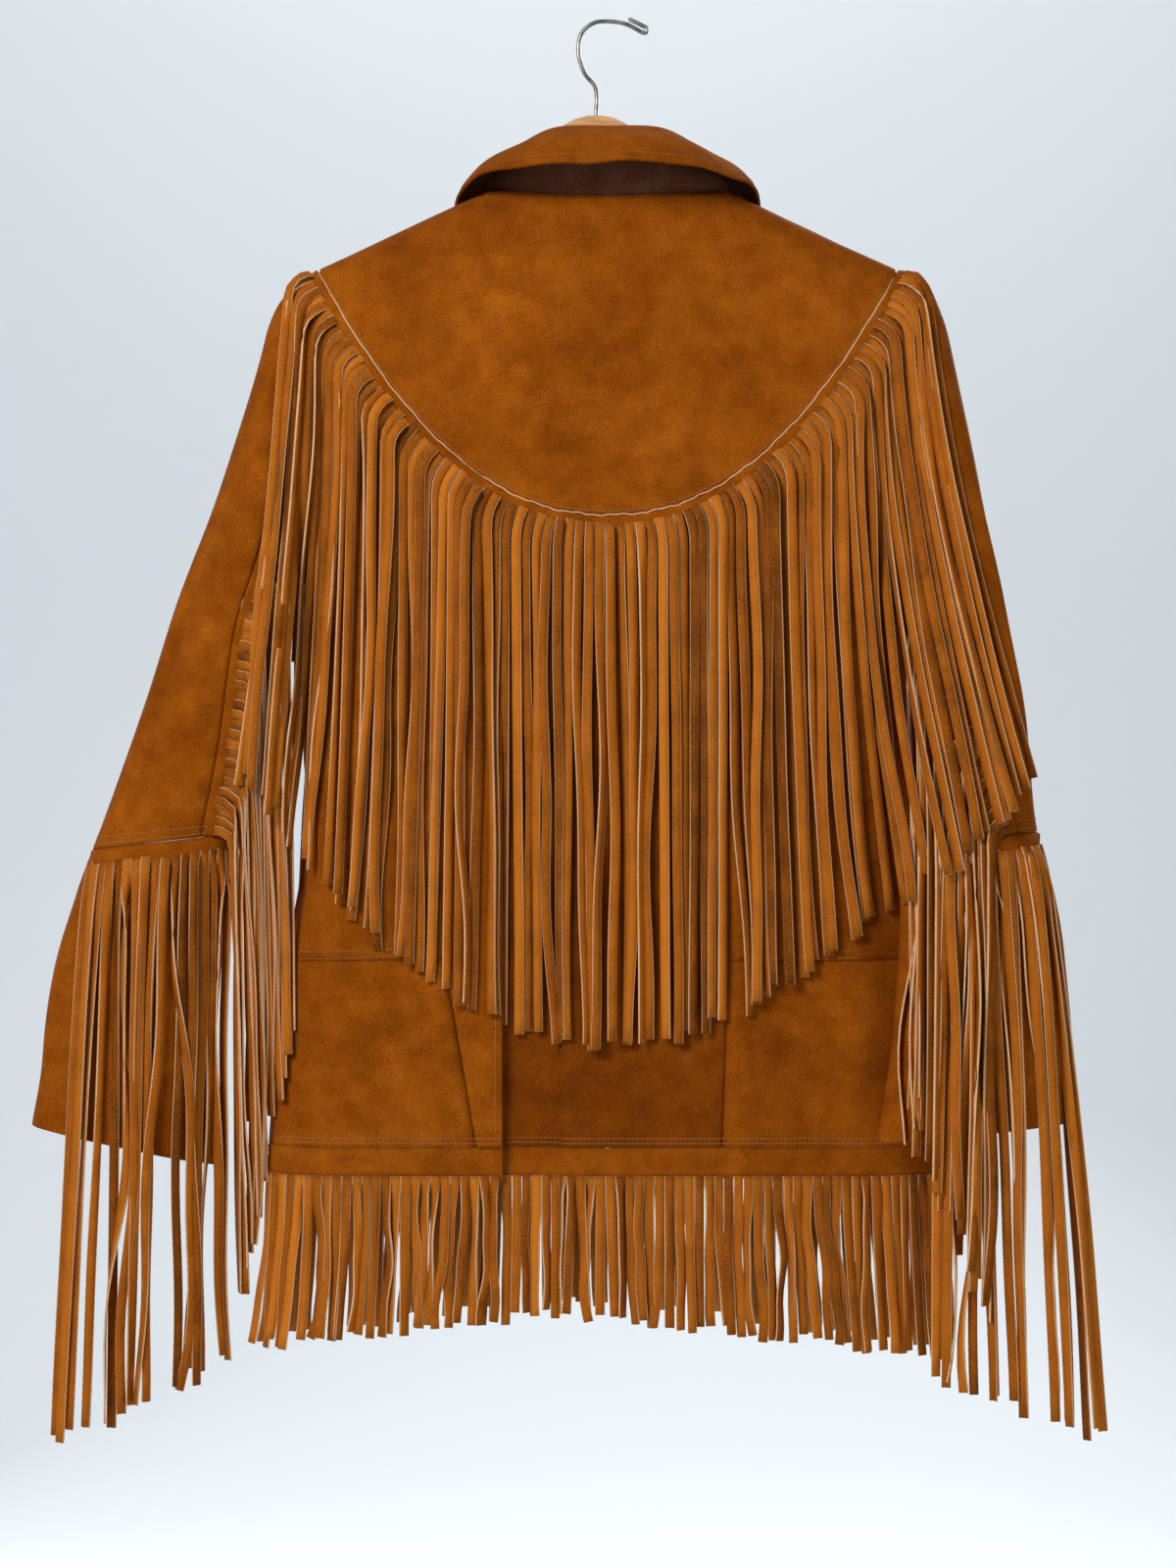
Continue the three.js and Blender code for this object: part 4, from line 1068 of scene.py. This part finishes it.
# Round the elbow seams; a strand at the front of the arm is shorter.
ELBOW_STRAND = 436
for label, hand, start, end in (("left", -1, 4, 152), ("right", 1, 2, 128)):
    angles = np.linspace(start, end, 60)
    seam = sleeve_line(label, angles, np.full(60, ELBOW + 0.02), 0.6)
    straight = np.tile((0.0, -1.0), (60, 1))

    def swing(place, share, label=label):
        outward = 1 - share
        return -lerp(4, 20, outward) if label == "left" else lerp(-6, 46, outward)

    def long(place, share):
        return lerp(ELBOW_STRAND, ELBOW_STRAND - 52, share)

    seam_fringe(f"elbow_fringe_of_{label}", f"elbow_fringe_{label}", BACK, seam, straight, ELBOW_STRAND,
                [f"sleeve_{label}_lower", f"sleeve_{label}_top", f"sleeve_{label}_under"],
                10,
                swing, spread=5.5, twist=0.8, curl=0.9, fall=0.03, length_of=long,
                pitch=PITCH if label == "left" else 4.9, bow=0.9 if label == "left" else 0.7)

# Down the back seams of the sleeves.
SLEEVE_STRAND = 362
for label, hand in (("left", -1), ("right", 1)):
    q = np.linspace(3.9 if hand < 0 else 4.3, ELBOW - 0.03, 60)
    seam = sleeve_line(label, seam_angle(label, q), q, 0.6)
    leaves = square_leaves(seam, (-hand, -0.3))
    seam_fringe(f"sleeve_fringe_of_{label}", f"sleeve_fringe_{label}", BACK, seam, leaves, SLEEVE_STRAND,
                [f"sleeve_{label}_lower", f"sleeve_{label}_top", f"sleeve_{label}_under",
                 f"elbow_fringe_of_{label}", f"back_side_{label}_top", f"back_side_{label}_skirt"],
                26,
                lambda place, share, hand=hand: -hand * 3, spread=3.5, twist=0.4, curl=0.7, band=8)

# Along the back yoke and the front yokes.
YOKE_STRAND, FRONT_STRAND = 389, 300


def shoulder_swing(place, share):
    """Near the shoulders the strands are pushed out over the sleeves."""
    return (abs(place[0]) / TIP_X) ** 3 * (66 if place[0] > 0 else -28)


x = np.linspace(-YOKE_END - 2, YOKE_END + 2, 240)
seam = np.stack([x, -45 + 0 * x, yoke_seam(x, BACK) - 0.5], axis=1)
seam[:, 1] = -body_depth(x, seam[:, 2], BACK)
seam_fringe("back_yoke_fringe", "yoke_fringe_back", BACK, seam, square_leaves(seam, (0, -1)), YOKE_STRAND,
            [k for k in made if k.startswith(("back_", "sleeve_", "elbow_"))], 30,
            shoulder_swing, spread=3.4, twist=0.3, steps=34, band=8)
for label, hand in (("left", -1), ("right", 1)):
    x = np.linspace(hand * FRONT_GAP, hand * YOKE_END, 130)
    seam = np.stack([x, 40 + 0 * x, yoke_seam(x, FRONT) - 0.5], axis=1)
    seam[:, 1] = body_depth(x, seam[:, 2], FRONT)
    seam_fringe(f"front_yoke_fringe_{label}", f"yoke_fringe_front_{label}", FRONT, seam,
                square_leaves(seam, (0, -1)), FRONT_STRAND,
                [k for k in made if k.startswith(("front_", "sleeve_"))], 30,
                lambda place, share: 0, spread=3.0, twist=0.3, steps=28, band=8)

# ---- Stitching and raw edges --------------------------------------------------------------
# Tan thread, about 3.5 mm to a stitch, along the yoke, the waist, the hem, the elbows and
# the collar; the yoke's edge is left raw, so that the pale middle of the hide shows.
STITCH = 3.5


def dash(start, end, out, wide=0.6, high=0.4):
    """One stitch: it rises out of the suede, crosses, and goes back in."""
    ahead = (end - start) / np.linalg.norm(end - start)
    across = np.cross(ahead, out)
    points = []
    for share, lift in ((0, -0.35), (0.5, high / 2), (1, -0.35)):
        middle = lerp(start, end, share) + out * lift
        points += [middle + across * (a * wide / 2) + out * (b * high / 2)
                   for a, b in ((-1, -1), (1, -1), (1, 1), (-1, 1))]
    faces = [(4 * k + i, 4 * k + (i + 1) % 4, 4 * k + 4 + (i + 1) % 4, 4 * k + 4 + i)
             for k in (0, 1) for i in range(4)]
    return points, faces + [(3, 2, 1, 0), (8, 9, 10, 11)]


def stitch_row(line, out):
    """Stitches along a line of points on a surface, whose outward directions are out."""
    length = np.concatenate([[0], np.cumsum(np.linalg.norm(np.diff(line, axis=0), axis=1))])
    points, faces = [], []
    for at in np.arange(1, length[-1] - STITCH, STITCH):
        ends = [np.array([np.interp(at + k * STITCH * 0.72, length, line[:, i]) for i in range(3)])
                for k in (0, 1)]
        away = np.array([np.interp(at, length, out[:, i]) for i in range(3)])
        new_points, new_faces = dash(*ends, away / np.linalg.norm(away))
        faces += [tuple(len(points) + k for k in face) for face in new_faces]
        points += new_points
    return points, faces


def on_surface(tree, x, z, side, lift=0.2):
    """A line of points laid on the pieces in a tree, at x, z; gaps are bridged."""
    depth = [depth_at(tree, a, b, side) for a, b in zip(x, z)]
    known = [k for k, value in enumerate(depth) if value is not None]
    depth = np.interp(range(len(x)), known, [depth[k] for k in known])
    return np.stack([x, side * (depth + lift), z], axis=1)


def thread():
    """Waxed tan thread: a little lighter and smoother than the suede round it."""
    material, tree = new_material("tan_thread")
    shader = add_node(tree, "ShaderNodeBsdfPrincipled", {"Base Color": linear("#99602a"), "Roughness": 0.8})
    add_node(tree, "ShaderNodeOutputMaterial", links={"Surface": shader.outputs[0]})
    return material


back_tree = tree_of([made[k] for k in made if k.startswith("back_") and "fringe" not in k])
front_tree = tree_of([made[k] for k in made if k.startswith("front_") and "fringe" not in k])
outline = {BACK: (back_tree, np.array((0, -1.0, 0))), FRONT: (front_tree, np.array((0, 1.0, 0)))}
rows = []
for side in (BACK, FRONT):
    tree, out = outline[side]
    x = np.linspace(-YOKE_END + 4, YOKE_END - 4, 260)
    stretches = [(x, yoke_seam(x, side) + 3.2)]
    stretches += [(x * 1.16, HEM_Z + gap + 0 * x) for gap in (3.5, 7.0)]
    for start, end in ((-228, -150), (130, 186)):
        span = np.linspace(start, end, 60)
        stretches += [(span, -690 + 0.04 * (span - start) + gap) for gap in (-2.6, 2.6)]
    if side == BACK:
        down = np.linspace(-640, HEM_Z + 8, 90)
        stretches.append((VENT_X - 5 + 0 * down, down))
    else:
        down = np.linspace(-215, HEM_Z + 6, 200)
        stretches += [(hand * (FRONT_GAP + 6) + 0 * down, down) for hand in (-1, 1)]
        stretches[0] = (x[np.abs(x) > FRONT_GAP + 2], stretches[0][1][np.abs(x) > FRONT_GAP + 2])
    rows += [stitch_row(on_surface(tree, a, b, side), np.tile(out, (len(a), 1))) for a, b in stretches]
angles = np.linspace(2, 356, 240)
for label in ("left", "right"):
    for q in (ELBOW - 0.05, ELBOW - 0.13):
        line = sleeve_line(label, angles, np.full(240, q), 0.3)
        middle = line.mean(axis=0)
        rows.append(stitch_row(line, line - middle))
rows.append(stitch_row(leaf_grid[19] + upward[19] * 0.3, upward[19]))
points, faces = [], []
for row_points, row_faces in rows:
    faces += [tuple(len(points) + k for k in face) for face in row_faces]
    points += row_points
stitches = mesh_piece("seam_stitches", np.array(points), faces, [thread()], [0] * len(faces),
                      np.zeros(len(faces), bool))
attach(stitches, "root")

points, faces = [], []
for side, start, end in ((BACK, -YOKE_END, YOKE_END), (FRONT, -YOKE_END, -FRONT_GAP),
                         (FRONT, FRONT_GAP, YOKE_END)):
    x = np.linspace(start, end, 300)
    z = yoke_seam(x, side) + 0.2 + 0.45 * np.sin(x * 0.21) + 0.3 * np.sin(x * 0.57 + 1)
    line = on_surface(outline[side][0], x, z + 1.2, side, 0.35)
    line[:, 2] -= 1.2
    ahead = np.gradient(line, axis=0)
    ahead /= np.linalg.norm(ahead, axis=1)[:, None]
    across = np.cross(ahead, (0, 1.0, 0))
    ring = [line + across * (0.62 * math.cos(k)) + np.array((0, 0.62 * math.sin(k), 0))
            for k in np.arange(6) * math.pi / 3]
    number = len(points) + np.arange(6 * len(x)).reshape(len(x), 6)
    points += list(np.stack(ring, axis=1).reshape(-1, 3))
    for k in range(6):
        a, b = number[:, k], number[:, (k + 1) % 6]
        faces += [tuple(f) for f in np.stack([a[:-1], a[1:], b[1:], b[:-1]], axis=1).tolist()]
    faces += [tuple(number[0, ::-1].tolist()), tuple(number[-1].tolist())]
edges = mesh_piece("yoke_raw_edges", np.array(points), faces, [CUT_EDGE], [0] * len(faces),
                   np.ones(len(faces), bool))
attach(edges, "root")
